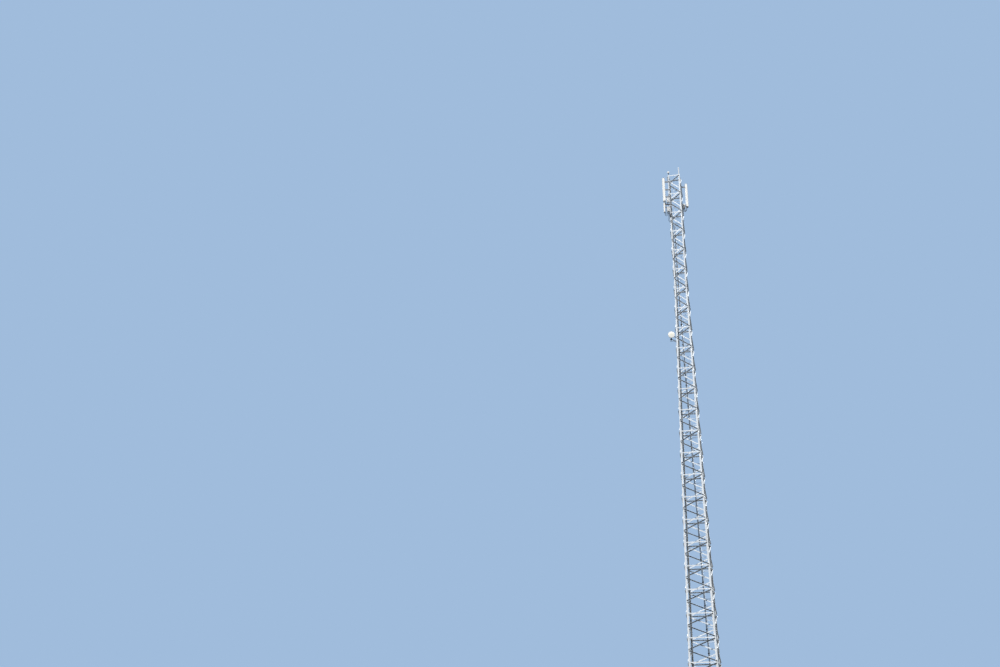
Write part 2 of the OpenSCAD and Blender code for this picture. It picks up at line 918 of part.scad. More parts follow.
// From the inside of the tower out through the back face to the ladder.
function run_down(i, z) = concat(
    [[bundle(i, z).x, half(z) - 70, z], [bundle(i, z).x, half(z) + 60, z - 20]],
    down_ladder(i, z - 150)
);

// Round the outside of the front left leg, and in through the left face.
function round_leg(i, z) = [
    [-half(z) - 70 - 28 * i, -half(z) - 25, z + 80],
    [-half(z) - 25 - 6 * i, -half(z) + 85 + 25 * i, z + 45],
    [-half(z) + 60, -half(z) + 160 + 25 * i, z],
];

// The upper radio's feeder goes back over the lower radio, and down between it and the leg.
function over_lower(p) =
    let (level = lower_radio_z + radio_h + 120, behind = [pipe_at.x - 84, pipe_at.y + 12])
    [
        p,
        [p.x, p.y, level],
        [behind.x, behind.y, level - 20],
        [behind.x, behind.y, lower_radio_z - 90],
    ];

// The right radio's feeder goes down past its pipe, and along between the back face and the ladder.
function behind_ladder(p) =
    let (z = entry_z + 120)
    [
        p,
        [p.x, p.y, z + 320],
        [half(z) + 30, half(z) + ladder_off / 2 + 15, z + 160],
        [half(z) - ladder_edge - 60, half(z) + ladder_off / 2, z + 40],
        [bundle(2, z).x + 60, half(z) + ladder_off / 2, z - 40],
    ];

module feeder(route) {
    cord(bend(route, cord_bend, 4), cable_d);
}

module feeder_cables() {
    upper = radio_port(4, upper_radio_z);
    lower = radio_port(4, lower_radio_z);
    right = spin(radio_port(4, right_radio_z));
    low_end = down(dish_port, 105);
    color(black) {
        feeder(concat(over_lower(upper), round_leg(1, entry_z), run_down(0, entry_z)));
        feeder(concat([lower, down(lower, 80)], round_leg(0, lower_entry), run_down(1, lower_entry)));
        feeder(concat(behind_ladder(right), down_ladder(2, right_entry)));
        feeder(concat(
            [dish_port, low_end, [dish_pipe.x - 62, dish_pipe.y - 15, low_end.z - 20]],
            round_leg(0, dish_entry),
            run_down(3, dish_exit)
        ));
    }
}

base_plates();
section_legs(0);  // section_1_legs
section_legs(1);  // section_2_legs
section_legs(2);  // section_3_legs
section_legs(3);  // section_4_legs
bracing(0, 0);  // section_1_front_bracing
bracing(0, 1);  // section_1_right_bracing
bracing(0, 2);  // section_1_back_bracing
bracing(0, 3);  // section_1_left_bracing
bracing(1, 0);  // section_2_front_bracing
bracing(1, 1);  // section_2_right_bracing
bracing(1, 2);  // section_2_back_bracing
bracing(1, 3);  // section_2_left_bracing
bracing(2, 0);  // section_3_front_bracing
bracing(2, 1);  // section_3_right_bracing
bracing(2, 2);  // section_3_back_bracing
bracing(2, 3);  // section_3_left_bracing
bracing(3, 0);  // section_4_front_bracing
bracing(3, 1);  // section_4_right_bracing
bracing(3, 2);  // section_4_back_bracing
bracing(3, 3);  // section_4_left_bracing
splice_plates(1);  // splice_plates_1
splice_plates(2);  // splice_plates_2
splice_plates(3);  // splice_plates_3
ladder(ladder_foot, kink_z - ladder_gap / 2);  // lower_ladder
ladder(kink_z + ladder_gap / 2, tower_h);  // upper_ladder
ladder_brackets();
cable_clamps();
feeder_cables();
large_panel(left_low);  // left_antenna
small_panel();  // left_small_antenna
antenna_pipe(small_low);  // left_antenna_pipe
panel_brackets(panel_w, left_brackets, panel_gap);  // left_antenna_brackets
panel_brackets(small_w, small_brackets, small_out);  // small_antenna_brackets
rotate(180) large_panel(right_low);  // right_antenna
rotate(180) antenna_pipe(right_low);  // right_antenna_pipe
rotate(180) panel_brackets(panel_w, right_brackets, panel_gap);  // right_antenna_brackets
left_radio(upper_radio_z);  // left_upper_radio
left_radio(lower_radio_z);  // left_lower_radio
rotate(180) left_radio(right_radio_z);  // right_radio
radio_brackets();
jumper_cables();
dish_antenna();
dish_radio();
dish_mount();
lightning_mast();
timing_antenna();
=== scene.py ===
"""A lattice cell tower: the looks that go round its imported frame.

The tower stands on z = 0 with its front towards -Y. Lengths are in metres, apart from the
small hardware, which is drawn in millimetres.
"""

import math
from collections import namedtuple

import bmesh
import bpy
from mathutils import Matrix, Vector


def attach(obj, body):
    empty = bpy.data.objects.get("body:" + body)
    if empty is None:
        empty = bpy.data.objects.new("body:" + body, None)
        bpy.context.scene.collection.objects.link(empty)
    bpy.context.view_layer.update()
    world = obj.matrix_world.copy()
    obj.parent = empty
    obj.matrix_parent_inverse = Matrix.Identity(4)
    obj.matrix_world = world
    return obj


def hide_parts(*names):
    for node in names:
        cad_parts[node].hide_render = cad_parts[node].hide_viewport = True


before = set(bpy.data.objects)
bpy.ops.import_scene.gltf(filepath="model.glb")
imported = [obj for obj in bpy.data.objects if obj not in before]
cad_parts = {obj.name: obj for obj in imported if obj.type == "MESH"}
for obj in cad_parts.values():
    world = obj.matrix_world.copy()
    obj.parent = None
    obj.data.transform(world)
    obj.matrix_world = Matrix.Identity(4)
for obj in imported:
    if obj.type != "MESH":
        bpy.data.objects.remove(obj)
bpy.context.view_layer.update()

BODY = "root"
MM = 0.001
UP, ALONG = Vector((0, 0, 1)), Vector((1, 0, 0))

# Colours are linear.
BACKDROP = (0.352, 0.503, 0.716)
GROUND = (0.44, 0.43, 0.41)
GROUND_PALE = (0.50, 0.49, 0.46)
GROUND_BOUNCE = (0.03, 0.03, 0.026)
ZINC_LIGHT = (0.74, 0.77, 0.79)
ZINC_DARK = (0.58, 0.61, 0.64)
ZINC_WHITE = (0.80, 0.82, 0.82)
ZINC_DUST = (0.50, 0.45, 0.37)
PIPE_LIGHT = (0.66, 0.69, 0.72)
PIPE_DARK = (0.50, 0.53, 0.56)
# Painted shade: the dark zinc of the antenna brackets, clamp ears, saddle straps and dish mount stands
# for the shade these parts lie in, not for a darker metal.
CLAMP_LIGHT = (0.26, 0.27, 0.29)
CLAMP_DARK = (0.13, 0.14, 0.15)
BOLT_LIGHT = (0.66, 0.67, 0.66)
BOLT_DARK = (0.40, 0.40, 0.40)
BOLT_RUST = (0.30, 0.16, 0.08)
COVER_WHITE = (0.84, 0.82, 0.77)
COVER_PALE = (0.90, 0.90, 0.88)
COVER_GRIME = (0.60, 0.56, 0.47)
CAP_WHITE = (0.72, 0.71, 0.67)
DISH_WHITE = (0.83, 0.83, 0.78)
DISH_CREAM = (0.74, 0.68, 0.48)
PAINT_GREY = (0.66, 0.67, 0.67)
# Painted shade: the dish radio's near-black grey stands for the shadow that the dish casts on it.
PAINT_SHADE = (0.17, 0.175, 0.18)
PAINT_GRIME = (0.42, 0.41, 0.38)
NICKEL_LIGHT = (0.62, 0.60, 0.55)
NICKEL_DARK = (0.38, 0.37, 0.34)
JACKET = (0.012, 0.012, 0.014)
JACKET_DUST = (0.085, 0.080, 0.075)

# The tower's own sizes, as its construction has them.
BAY, BAYS, SECTION = 1.0, 24, 6.0
TOP, KINK = 24.0, 18.25
BASE_W, TOP_W = 1.24, 0.57
SLOPE = (BASE_W - TOP_W) / 2 / KINK
SPLICE_RISE, SPLICE_T = 0.25, 0.008
SPLICE_ROWS = (-0.084, -0.034, 0.034, 0.084)
FLANGE = (0.080, 0.070, 0.070, 0.060)
LEG_T = (0.008, 0.007, 0.007, 0.006)
BRACE, BRACE_T, BRACE_END, BOLT_ROOM = 0.045, 0.004, 0.020, 0.014
PLATE_IN, PLATE_T, PLATE_W, PLATE_PITCH = 0.035, 0.020, 0.300, 0.220
GUSSET_H, GUSSET_T, GUSSET_EDGE = 0.160, 0.008, 0.010
LADDER_W, LADDER_OFF, LADDER_EDGE = 0.340, 0.190, 0.090
STILE, STILE_T, RUNG_PITCH = 0.050, 0.008, 0.300
CLEAT_T, CLEAT_BOLT = 0.005, 0.017
CABLE_D, CABLE_PITCH, JUMPER_D = 0.012, 0.016, 0.015
CLAMP_W, CLAMP_D, CLAMP_RISE, CLAMPS, CLAMP_BOLT = 0.080, 0.024, 0.47, 21, 0.0055
PIPE_D, PIPE_CLAMP_R, BRACKET_T = 0.060, 0.036, 0.008
PIPE_AT = Vector((-0.255, -0.375, 0))
PANEL_TURN = math.radians(194)
CAP_H, CAP_LIP, RIM, RECESS, PORT_H = 0.014, 0.006, 0.022, 0.004, 0.024
LARGE_BRACKETS = (23.620, 23.190, 22.800)
SMALL_BRACKETS = (22.388, 22.240)
RIGHT_BRACKETS = (23.650, 22.6275)
SADDLES = (22.910, 21.910)
RADIO_AT = Vector((-0.330, -0.441, 0))
RADIO_W, RADIO_H, RADIO_BODY, RADIO_D = 0.130, 0.240, 0.050, 0.090
RADIO_PORTS = (-0.048, -0.024, 0, 0.024, 0.048)
RADIO_HOLDS, HOLD_H = (0.035, 0.160), 0.040
UPPER_RADIO, LOWER_RADIO, RIGHT_RADIO = 22.470, 21.980, 22.510
DISH_Z, DISH_TURN, DISH_OFF = 15.470, math.radians(280), 0.150
DISH_R, BOWL, RIM_W, DOME, HUB_R = 0.150, 0.050, 0.060, 0.014, 0.044
DISH_ARMS = (-0.137, 0.058)
DISH_PORT = Vector((DISH_OFF - 0.021, 0, -0.100))
MAST_AT = TOP_W / 2 - 0.032
CAP_Z, CAP_W, CAP_T = 24.040, 0.064, 0.008

# A bracing bolt stands this far past its flange's middle, and a washer this far off the steel.
GAUGE, SEAT = 0.005, 0.0001

# A panel antenna: its cover's width and depth, its ends' heights, its gap to the pipe, its ports.
Panel = namedtuple("Panel", "wide deep low top gap ports")
LARGE = Panel(0.180, 0.115, 22.550, 23.800, 0.170, 4)
SMALL = Panel(0.120, 0.070, 21.970, 22.460, 0.215, 2)


def half(z):
    """Half the width over the legs at a height."""
    return BASE_W / 2 - SLOPE * z if z < KINK else TOP_W / 2


# The heights at which the feeders go in and out between the legs.
ENTRY, DISH_ENTRY, DISH_EXIT = TOP - 2.5 * BAY, TOP - 8.75 * BAY, TOP - 9.5 * BAY

DISH_PIPE = Vector((-half(DISH_Z) - 0.200, -half(DISH_Z) - 0.320, 0))
AT_PIPE = Matrix.Translation(PIPE_AT) @ Matrix.Rotation(PANEL_TURN, 4, "Z")
AT_DISH = Matrix.Translation((*DISH_PIPE.xy, DISH_Z)) @ Matrix.Rotation(DISH_TURN, 4, "Z")
HALF_TURN = Matrix.Rotation(math.pi, 4, "Z")
ALONG_X = Matrix.Rotation(math.pi / 2, 4, "Y")


# Node trees

class Wire:
    """A socket that a node gives. Arithmetic on it adds Math nodes."""

    def __init__(self, tree, socket):
        self.tree = tree
        self.socket = socket

    def math(self, operation, *values):
        return self.tree.node("ShaderNodeMath", {"operation": operation}, *values)

    def __add__(self, other):
        return self.math("ADD", self, other)

    def __rsub__(self, other):
        return self.math("SUBTRACT", other, self)

    def __mul__(self, other):
        return self.math("MULTIPLY", self, other)

    def __pow__(self, other):
        return self.math("POWER", self, other)

    def most(self, other):
        return self.math("MAXIMUM", self, other)

    def between(self, low, high):
        """0 on low's side, 1 on high's side, and a straight ramp between the two."""
        return self.tree.node("ShaderNodeMapRange", {}, Value=self, From_Min=low, From_Max=high)

    __radd__, __rmul__ = __add__, __mul__


class Tree:
    """A tree of any kind of nodes."""

    def __init__(self, tree):
        self.tree = tree

    @staticmethod
    def find(sockets, key):
        """A socket by its number, or the first in use with a name, or for None the first in use."""
        if isinstance(key, int):
            return sockets[key]
        return next(s for s in sockets if s.enabled and key in (None, s.name))

    def node(self, kind, settings, *by_number, output=None, **by_name):
        """Adds a node: its settings come first, then the values or links of its sockets."""
        made = self.tree.nodes.new(kind)
        for key, value in settings.items():
            setattr(made, key, value)
        names = {key.replace("_", " "): value for key, value in by_name.items()}
        for key, value in (*enumerate(by_number), *names.items()):
            socket = self.find(made.inputs, key)
            if isinstance(value, Wire):
                self.tree.links.new(value.socket, socket)
            else:
                socket.default_value = value
        return Wire(self, self.find(made.outputs, output))

    def ray(self, kind):
        return self.node("ShaderNodeLightPath", {}, output="Is %s Ray" % kind)

    def mixed(self, factor, first, second):
        return self.node("ShaderNodeMixShader", {}, factor, first, second)


# Camera, floor and light

def make_camera():
    """The photograph's viewpoint: low and far off, looking up past the tower."""
    camera = bpy.data.objects.new("photo_camera", bpy.data.cameras.new("photo_camera"))
    bpy.context.scene.collection.objects.link(camera)
    camera.location = (4.7235, -49.7466, -3.196)
    camera.rotation_euler = (math.radians(111.105), 0, math.radians(15.30))
    camera.data.sensor_width = 36
    camera.data.lens = 40.8
    camera.data.clip_end = 2000
    bpy.context.scene.camera = camera


def make_lights():
    """A key from the front, high up, and wide soft ones from behind and from both sides."""
    for name, strength, spread, turn in (
        ("key", 4.7, 0.6, (43, 0, 1.2)),
        ("back", 1.7, 20, (72, 0, 180)),
        ("right", 1.7, 12, (76, 0, 112)),
        ("left", 1.7, 12, (76, 0, -112)),
    ):
        light = bpy.data.lights.new(name, "SUN")
        light.energy = strength
        light.angle = math.radians(spread)
        lamp = bpy.data.objects.new(name, light)
        lamp.rotation_euler = [math.radians(a) for a in turn]
        bpy.context.scene.collection.objects.link(lamp)


def make_backdrop():
    """A pale backdrop for the camera and for reflections, and a faint even light for the rest."""
    world = bpy.data.worlds.new("studio")
    bpy.context.scene.world = world
    world.use_nodes = True
    world.node_tree.nodes.clear()
    studio = Tree(world.node_tree)
    seen = studio.ray("Camera").most(studio.ray("Glossy")).most(studio.ray("Transmission"))
    pale = studio.node("ShaderNodeBackground", {}, Color=(*BACKDROP, 1))
    fill = studio.node("ShaderNodeBackground", {}, Color=(0.93, 0.96, 1, 1), Strength=0.015)
    outlet = world.node_tree.nodes.new("ShaderNodeOutputWorld")
    world.node_tree.links.new(studio.mixed(seen, fill, pale).socket, outlet.inputs[0])


# Finishes

class Finish(Tree):
    """A procedural material on Object coordinates."""

    def __init__(self, name, **constants):
        self.material = bpy.data.materials.new(name)
        self.material.use_nodes = True
        super().__init__(self.material.node_tree)
        self.shader = self.tree.nodes["Principled BSDF"]
        for socket, value in constants.items():
            self.shader.inputs[socket.replace("_", " ")].default_value = value

    def place(self, stretch=(1, 1, 1)):
        at = self.node("ShaderNodeTexCoord", {}, output="Object")
        if stretch == (1, 1, 1):
            return at
        return self.node("ShaderNodeMapping", {}, Vector=at, Scale=stretch)

    def axis(self, name):
        return self.node("ShaderNodeSeparateXYZ", {}, self.place(), output=name)

    def noise(self, scale, detail=3, stretch=(1, 1, 1)):
        at = self.place(stretch)
        return self.node("ShaderNodeTexNoise", {}, Vector=at, Scale=scale, Detail=detail)

    def cells(self, scale):
        """A random value for each cell of a cracked pattern."""
        at = self.place()
        colour = self.node("ShaderNodeTexVoronoi", {}, output="Color", Vector=at, Scale=scale)
        return self.node("ShaderNodeSeparateColor", {}, colour)

    def blend(self, factor, a, b):
        a, b = (c if isinstance(c, Wire) else (*c, 1) for c in (a, b))
        return self.node("ShaderNodeMix", {"data_type": "RGBA"}, Factor=factor, A=a, B=b)

    def bump(self, height, distance):
        return self.node("ShaderNodeBump", {}, Height=height, Distance=distance)

    def feed(self, **wires):
        for socket, wire in wires.items():
            self.tree.links.new(wire.socket, self.shader.inputs[socket.replace("_", " ")])
        return self.material


def galvanised(name, light=ZINC_LIGHT, dark=ZINC_DARK, grain=70, white=0.45):
    """Hot-dip zinc: faint spangle, duller patches, run marks, white bloom, and dust low down."""
    zinc = Finish(name, Metallic=0.04, Specular_IOR_Level=0.15)
    spangle = zinc.cells(grain)
    patch = zinc.noise(1.7, 4)
    runs = zinc.noise(26, 3, (1, 1, 0.05))
    bloom = zinc.noise(9, 5).between(0.60, 0.74)
    tone = 0.22 * spangle + 0.55 * patch.between(0.3, 0.7) + 0.23 * runs
    base = zinc.blend(tone, dark, light)
    bloomed = zinc.blend(bloom * white, base, ZINC_WHITE)
    dust = zinc.axis("Z").between(1.3, 0) * zinc.noise(14, 5).between(0.34, 0.68)
    return zinc.feed(
        Base_Color=zinc.blend(0.55 * dust, bloomed, ZINC_DUST),
        Roughness=0.42 + 0.16 * patch + 0.10 * spangle + 0.12 * bloom + 0.1 * dust,
        Normal=zinc.bump(0.5 * spangle + 0.9 * runs + bloom, 0.0006),
    )


def bolt_zinc(name):
    """Duller zinc on bolts, with a little rust where it has worn through."""
    zinc = Finish(name, Metallic=0.10, Specular_IOR_Level=0.2)
    patch = zinc.noise(11, 4)
    fine = zinc.noise(240, 3)
    rust = zinc.noise(4.5, 5).between(0.60, 0.72) * fine.between(0.40, 0.62)
    return zinc.feed(
        Base_Color=zinc.blend(0.55 * rust, zinc.blend(patch, BOLT_DARK, BOLT_LIGHT), BOLT_RUST),
        Roughness=0.44 + 0.2 * patch + 0.2 * rust,
        Normal=zinc.bump(fine, 0.0002),
    )


def nickel(name):
    """Plated brass connectors, dulled by weather."""
    plate = Finish(name, Metallic=0.85)
    patch = plate.noise(60, 4)
    return plate.feed(
        Base_Color=plate.blend(patch.between(0.3, 0.7), NICKEL_DARK, NICKEL_LIGHT),
        Roughness=0.26 + 0.22 * patch,
        Normal=plate.bump(plate.noise(500, 2), 0.00006),
    )


def moulded_cover(name, colour=COVER_WHITE, rough=0.38):
    """Pale moulded plastic: faint mottling, dust on it and rain streaks."""
    cover = Finish(name, IOR=1.48)
    mottle = cover.noise(6, 4)
    streaks = cover.noise(38, 4, (1, 1, 0.06)).between(0.52, 0.80)
    dust = cover.noise(2.4, 5).between(0.45, 0.75)
    grain = cover.noise(420, 2)
    grimed = cover.blend(0.20 * streaks + 0.16 * dust, colour, COVER_GRIME)
    return cover.feed(
        Base_Color=cover.blend(0.10 * mottle, grimed, COVER_PALE),
        Roughness=rough + 0.14 * dust + 0.08 * mottle,
        Normal=cover.bump(grain + 0.6 * streaks, 0.0002),
    )


def painted_housing(name, colour=PAINT_GREY):
    """Powder-coated aluminium: fine orange peel and dirt that the rain leaves."""
    paint = Finish(name, IOR=1.5)
    peel = paint.noise(260, 2)
    streaks = paint.noise(44, 4, (1, 1, 0.08)).between(0.50, 0.78)
    dust = paint.noise(5, 5).between(0.40, 0.72)
    return paint.feed(
        Base_Color=paint.blend(0.30 * streaks + 0.22 * dust, colour, PAINT_GRIME),
        Roughness=0.46 + 0.16 * dust,
        Normal=paint.bump(peel, 0.0003),
    )


def black_plastic(name, rough=0.5):
    """Black plastic with patches of dust."""
    jacket = Finish(name, IOR=1.5)
    dust = jacket.noise(7, 5).between(0.42, 0.75)
    fine = jacket.noise(160, 3)
    return jacket.feed(
        Base_Color=jacket.blend(0.75 * dust + 0.12 * fine, JACKET, JACKET_DUST),
        Roughness=rough + 0.22 * dust,
        Normal=jacket.bump(fine, 0.0003),
    )


def dish_cover(name):
    """The dish's face: chalky white with a faint cream middle where the coating has worn."""
    face = Finish(name, IOR=1.48)
    middle = AT_DISH @ Vector((DISH_OFF + 0.12, 0, 0))
    distance = {"operation": "DISTANCE"}
    away = face.node("ShaderNodeVectorMath", distance, face.place(), middle, output="Value")
    mottle = face.noise(16, 5)
    cream = (away + 0.03 * mottle).between(0.10, 0.05)
    streaks = face.noise(46, 4, (1, 1, 0.08)).between(0.52, 0.8)
    chalked = face.blend(0.18 * streaks + 0.12 * mottle, DISH_WHITE, COVER_GRIME)
    return face.feed(
        Base_Color=face.blend(0.5 * cream, chalked, DISH_CREAM),
        Roughness=0.5 + 0.14 * mottle,
        Normal=face.bump(face.noise(380, 2) + 0.5 * streaks, 0.0002),
    )


def ground_finish(near, far):
    """Plain pale floor that runs into the backdrop a long way out and throws little light up."""
    floor = Finish("floor", Roughness=0.9)
    x, y = floor.axis("X"), floor.axis("Y")
    distance = (x * x + y * y) ** 0.5
    grain = floor.noise(0.6, 4)
    floor.feed(
        Base_Color=floor.blend(grain * 0.25, GROUND, GROUND_PALE),
        Normal=floor.bump(grain, 0.004),
    )
    lit = Wire(floor, floor.shader.outputs[0])
    bounce = floor.node("ShaderNodeBsdfDiffuse", {}, Color=(*GROUND_BOUNCE, 1))
    pale = floor.node("ShaderNodeEmission", {}, Color=(*BACKDROP, 1))
    nearby = floor.mixed(floor.ray("Diffuse"), lit, bounce)
    whole = floor.mixed(distance.between(near, far), nearby, pale)
    floor.tree.links.new(whole.socket, floor.tree.nodes["Material Output"].inputs[0])
    return floor.material


def make_floor():
    """A level top round the tower, a slope down to the level that the camera stands over."""
    level, foot, drop, sides, steps = 8.0, 30.0, 6.0, 96, 12
    slope = [level + (foot - level) * k / steps for k in range(1, steps + 1)]
    shape = bmesh.new()
    rows = [[shape.verts.new((0, 0, 0))] * sides]
    for r in [0.5, 2, 4, level] + slope + [45, 70, 120, 250, 600]:
        t = min(1, max(0, (r - level) / (foot - level)))
        rows.append([shape.verts.new(p) for p in ring(r, -drop * t * t * (3 - 2 * t), sides)])
    for inner, outer in zip(rows, rows[1:]):
        for k in range(sides):
            n = (k + 1) % sides
            corners = [inner[k], outer[k], outer[n]] + ([inner[n]] if inner[n] != inner[k] else [])
            shape.faces.new(corners).smooth = True
    mesh = bpy.data.meshes.new("floor")
    shape.to_mesh(mesh)
    floor = bpy.data.objects.new("floor", mesh)
    bpy.context.scene.collection.objects.link(floor)
    mesh.materials.append(ground_finish(40, 220))


# Shapes

def turned(point, quarters):
    """A point or direction of the front face, carried round to another face."""
    x, y, z = point
    for _ in range(quarters):
        x, y = -y, x
    return Vector((x, y, z))


def loft(shape, loops):
    """A closed skin over outlines that run anticlockwise, from the lowest to the highest."""
    rows = [[shape.verts.new(p) for p in loop] for loop in loops]
    for low, high in zip(rows, rows[1:]):
        for k in range(len(low)):
            n = (k + 1) % len(low)
            shape.faces.new((low[k], low[n], high[n], high[k]))
    shape.faces.new(reversed(rows[0]))
    shape.faces.new(rows[-1])


def ring(radius, z, sides, centre=(0, 0)):
    x, y = centre
    angles = [math.tau * k / sides for k in range(sides)]
    return [Vector((x + radius * math.cos(a), y + radius * math.sin(a), z)) for a in angles]


def turn_up(shape, profile, sides, centre=(0, 0)):
    """A turned shape: its profile is a list of radius and height from the foot up."""
    loft(shape, [ring(r, z, sides, centre) for r, z in profile])


def block(shape, low, high, edge):
    """A box with its edges broken."""
    (x0, y0, z0), (x1, y1, z1) = low, high

    def outline(inset, z):
        a, b, c, d = x0 + inset, x1 - inset, y0 + inset, y1 - inset
        corners = (
            (a + edge, c), (b - edge, c), (b, c + edge), (b, d - edge),
            (b - edge, d), (a + edge, d), (a, d - edge), (a, c + edge),
        )
        return [Vector((x, y, z)) for x, y in corners]

    rises = (edge, z0), (0, z0 + edge), (0, z1 - edge), (edge, z1)
    loft(shape, [outline(inset, z) for inset, z in rises])


def shown(name, mesh, smooth):
    """An object for a mesh, at the origin, smooth up to an angle in degrees."""
    mesh.shade_smooth()
    mesh.set_sharp_from_angle(angle=math.radians(smooth))
    piece = bpy.data.objects.new(name, mesh)
    bpy.context.scene.collection.objects.link(piece)
    return piece


def skinned(name, shape, material, smooth):
    """An object from a filled bmesh."""
    mesh = bpy.data.meshes.new(name)
    shape.to_mesh(mesh)
    shape.free()
    for layer in [a for a in mesh.attributes if a.name == "custom_normal"]:
        mesh.attributes.remove(layer)
    mesh.materials.append(material)
    return shown(name, mesh, smooth)


def built(name, make, material, smooth=35, place=Matrix()):
    """An object from a function that fills a bmesh, moved by a matrix."""
    shape = bmesh.new()
    make(shape)
    bmesh.ops.transform(shape, matrix=place, verts=shape.verts)
    return skinned(name, shape, material, smooth)


def stands(piece, slot, *nodes):
    """The piece rides on the tower and stands for some CAD nodes. The slot is not used."""
    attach(piece, BODY)
    if nodes:
        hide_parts(*nodes)
    return piece


def islands(shape):
    """The separate solids of a bmesh, as lists of edges."""
    seen = set()
    for start in shape.verts:
        if start in seen:
            continue
        stack, edges = [start], set()
        seen.add(start)
        while stack:
            for edge in stack.pop().link_edges:
                edges.add(edge)
                for vert in edge.verts:
                    if vert not in seen:
                        seen.add(vert)
                        stack.append(vert)
        yield list(edges)


def is_sharp(edge):
    whole = edge.is_valid and len(edge.link_faces) == 2
    return whole and edge.calc_face_angle(0) > math.radians(30)


def dressed(node, material, slot, width):
    """A copy of a CAD node with its flat faces whole and its sharp edges broken."""
    shape = bmesh.new()
    shape.from_mesh(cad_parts[node].data)
    flat = math.radians(0.5)
    bmesh.ops.remove_doubles(shape, verts=shape.verts, dist=2e-5)
    bmesh.ops.dissolve_limit(shape, angle_limit=flat, verts=shape.verts, edges=shape.edges)
    for edges in list(islands(shape)):
        sharp = [e for e in edges if is_sharp(e)]
        if sharp:
            bmesh.ops.bevel(
                shape, geom=sharp, offset=width, segments=1, profile=0.5, affect="EDGES",
                clamp_overlap=True,
            )
    bmesh.ops.dissolve_degenerate(shape, dist=1e-6, edges=shape.edges)
    return stands(skinned(node + "_finished", shape, material, 35), slot, node)


# Geometry Nodes

class Growth(Tree):
    """A Geometry Nodes tree with named inputs, run once on a carrier mesh."""

    def __init__(self, name, points, edges=()):
        super().__init__(bpy.data.node_groups.new(name, "GeometryNodeTree"))
        for way in ("OUTPUT", "INPUT"):
            self.tree.interface.new_socket("Geometry", in_out=way, socket_type="NodeSocketGeometry")
        self.carrier = bpy.data.meshes.new(name)
        self.carrier.from_pydata(points, edges, [])
        self.name = name
        self.inlet = self.tree.nodes.new("NodeGroupInput")
        self.values = {}
        self.geometry = Wire(self, self.inlet.outputs["Geometry"])

    def size(self, name, kind, value):
        made = self.tree.interface.new_socket(name, in_out="INPUT", socket_type="NodeSocket" + kind)
        self.values[made.identifier] = value
        return Wire(self, self.inlet.outputs[name])

    def field(self, name, kind, values):
        """Gives each point of the carrier its own value."""
        attribute = self.carrier.attributes.new(name, kind, "POINT")
        attribute.data.foreach_set(
            "value" if kind == "FLOAT" else "vector",
            [n for v in values for n in ([v] if kind == "FLOAT" else v)],
        )
        return self.node("GeometryNodeInputNamedAttribute", {"data_type": kind}, Name=name)

    def grow(self, geometry, material, smooth):
        """Runs the tree and returns a plain piece."""
        whole = self.node("GeometryNodeRealizeInstances", {}, Geometry=geometry)
        finish = self.size("Finish", "Material", material)
        coated = self.node("GeometryNodeSetMaterial", {}, Geometry=whole, Material=finish)
        self.tree.links.new(coated.socket, self.tree.nodes.new("NodeGroupOutput").inputs[0])
        holder = bpy.data.objects.new(self.name + "_carrier", self.carrier)
        bpy.context.scene.collection.objects.link(holder)
        modifier = holder.modifiers.new(self.name, "NODES")
        modifier.node_group = self.tree
        for identifier, value in self.values.items():
            modifier[identifier] = value
        graph = bpy.context.evaluated_depsgraph_get()
        mesh = bpy.data.meshes.new_from_object(holder.evaluated_get(graph))
        bpy.data.objects.remove(holder)
        mesh.name = self.name
        return shown(self.name, mesh, smooth)


def set_out(name, places, make, material, slot, spin=0.0, seed=1):
    """One small shape, drawn in millimetres, at places: point, outward axis, up and scale."""
    points, axes, ups, scales = zip(*places)
    pattern = built(name + "_pattern", make, material)
    tree = Growth(name, points)
    part = tree.size("Part", "Object", pattern)
    size = tree.size("Size", "Float", MM)
    spread = tree.size("Spin", "Float", spin)
    chance = tree.size("Seed", "Int", seed)
    axis = tree.field("axis", "FLOAT_VECTOR", axes)
    up = tree.field("up", "FLOAT_VECTOR", ups)
    own = tree.field("scale", "FLOAT", scales)
    align, draw = "FunctionNodeAlignRotationToVector", "FunctionNodeRandomValue"
    stood = tree.node(align, {"axis": "Z"}, Vector=axis)
    faced = tree.node(align, {"axis": "X", "pivot_axis": "Z"}, Rotation=stood, Vector=up)
    turn = tree.node(draw, {"data_type": "FLOAT"}, Min=0.0, Max=spread, Seed=chance)
    about = tree.node("ShaderNodeCombineXYZ", {}, Z=turn)
    local = {"rotation_space": "LOCAL"}
    spun = tree.node("FunctionNodeRotateRotation", local, Rotation=faced, Rotate_By=about)
    shape = tree.node("GeometryNodeObjectInfo", {}, output="Geometry", Object=part)
    instances = tree.node(
        "GeometryNodeInstanceOnPoints", {}, Points=tree.geometry, Instance=shape, Rotation=spun,
        Scale=size * own,
    )
    piece = tree.grow(instances, material, 35)
    bpy.data.objects.remove(pattern)
    return stands(piece, slot)


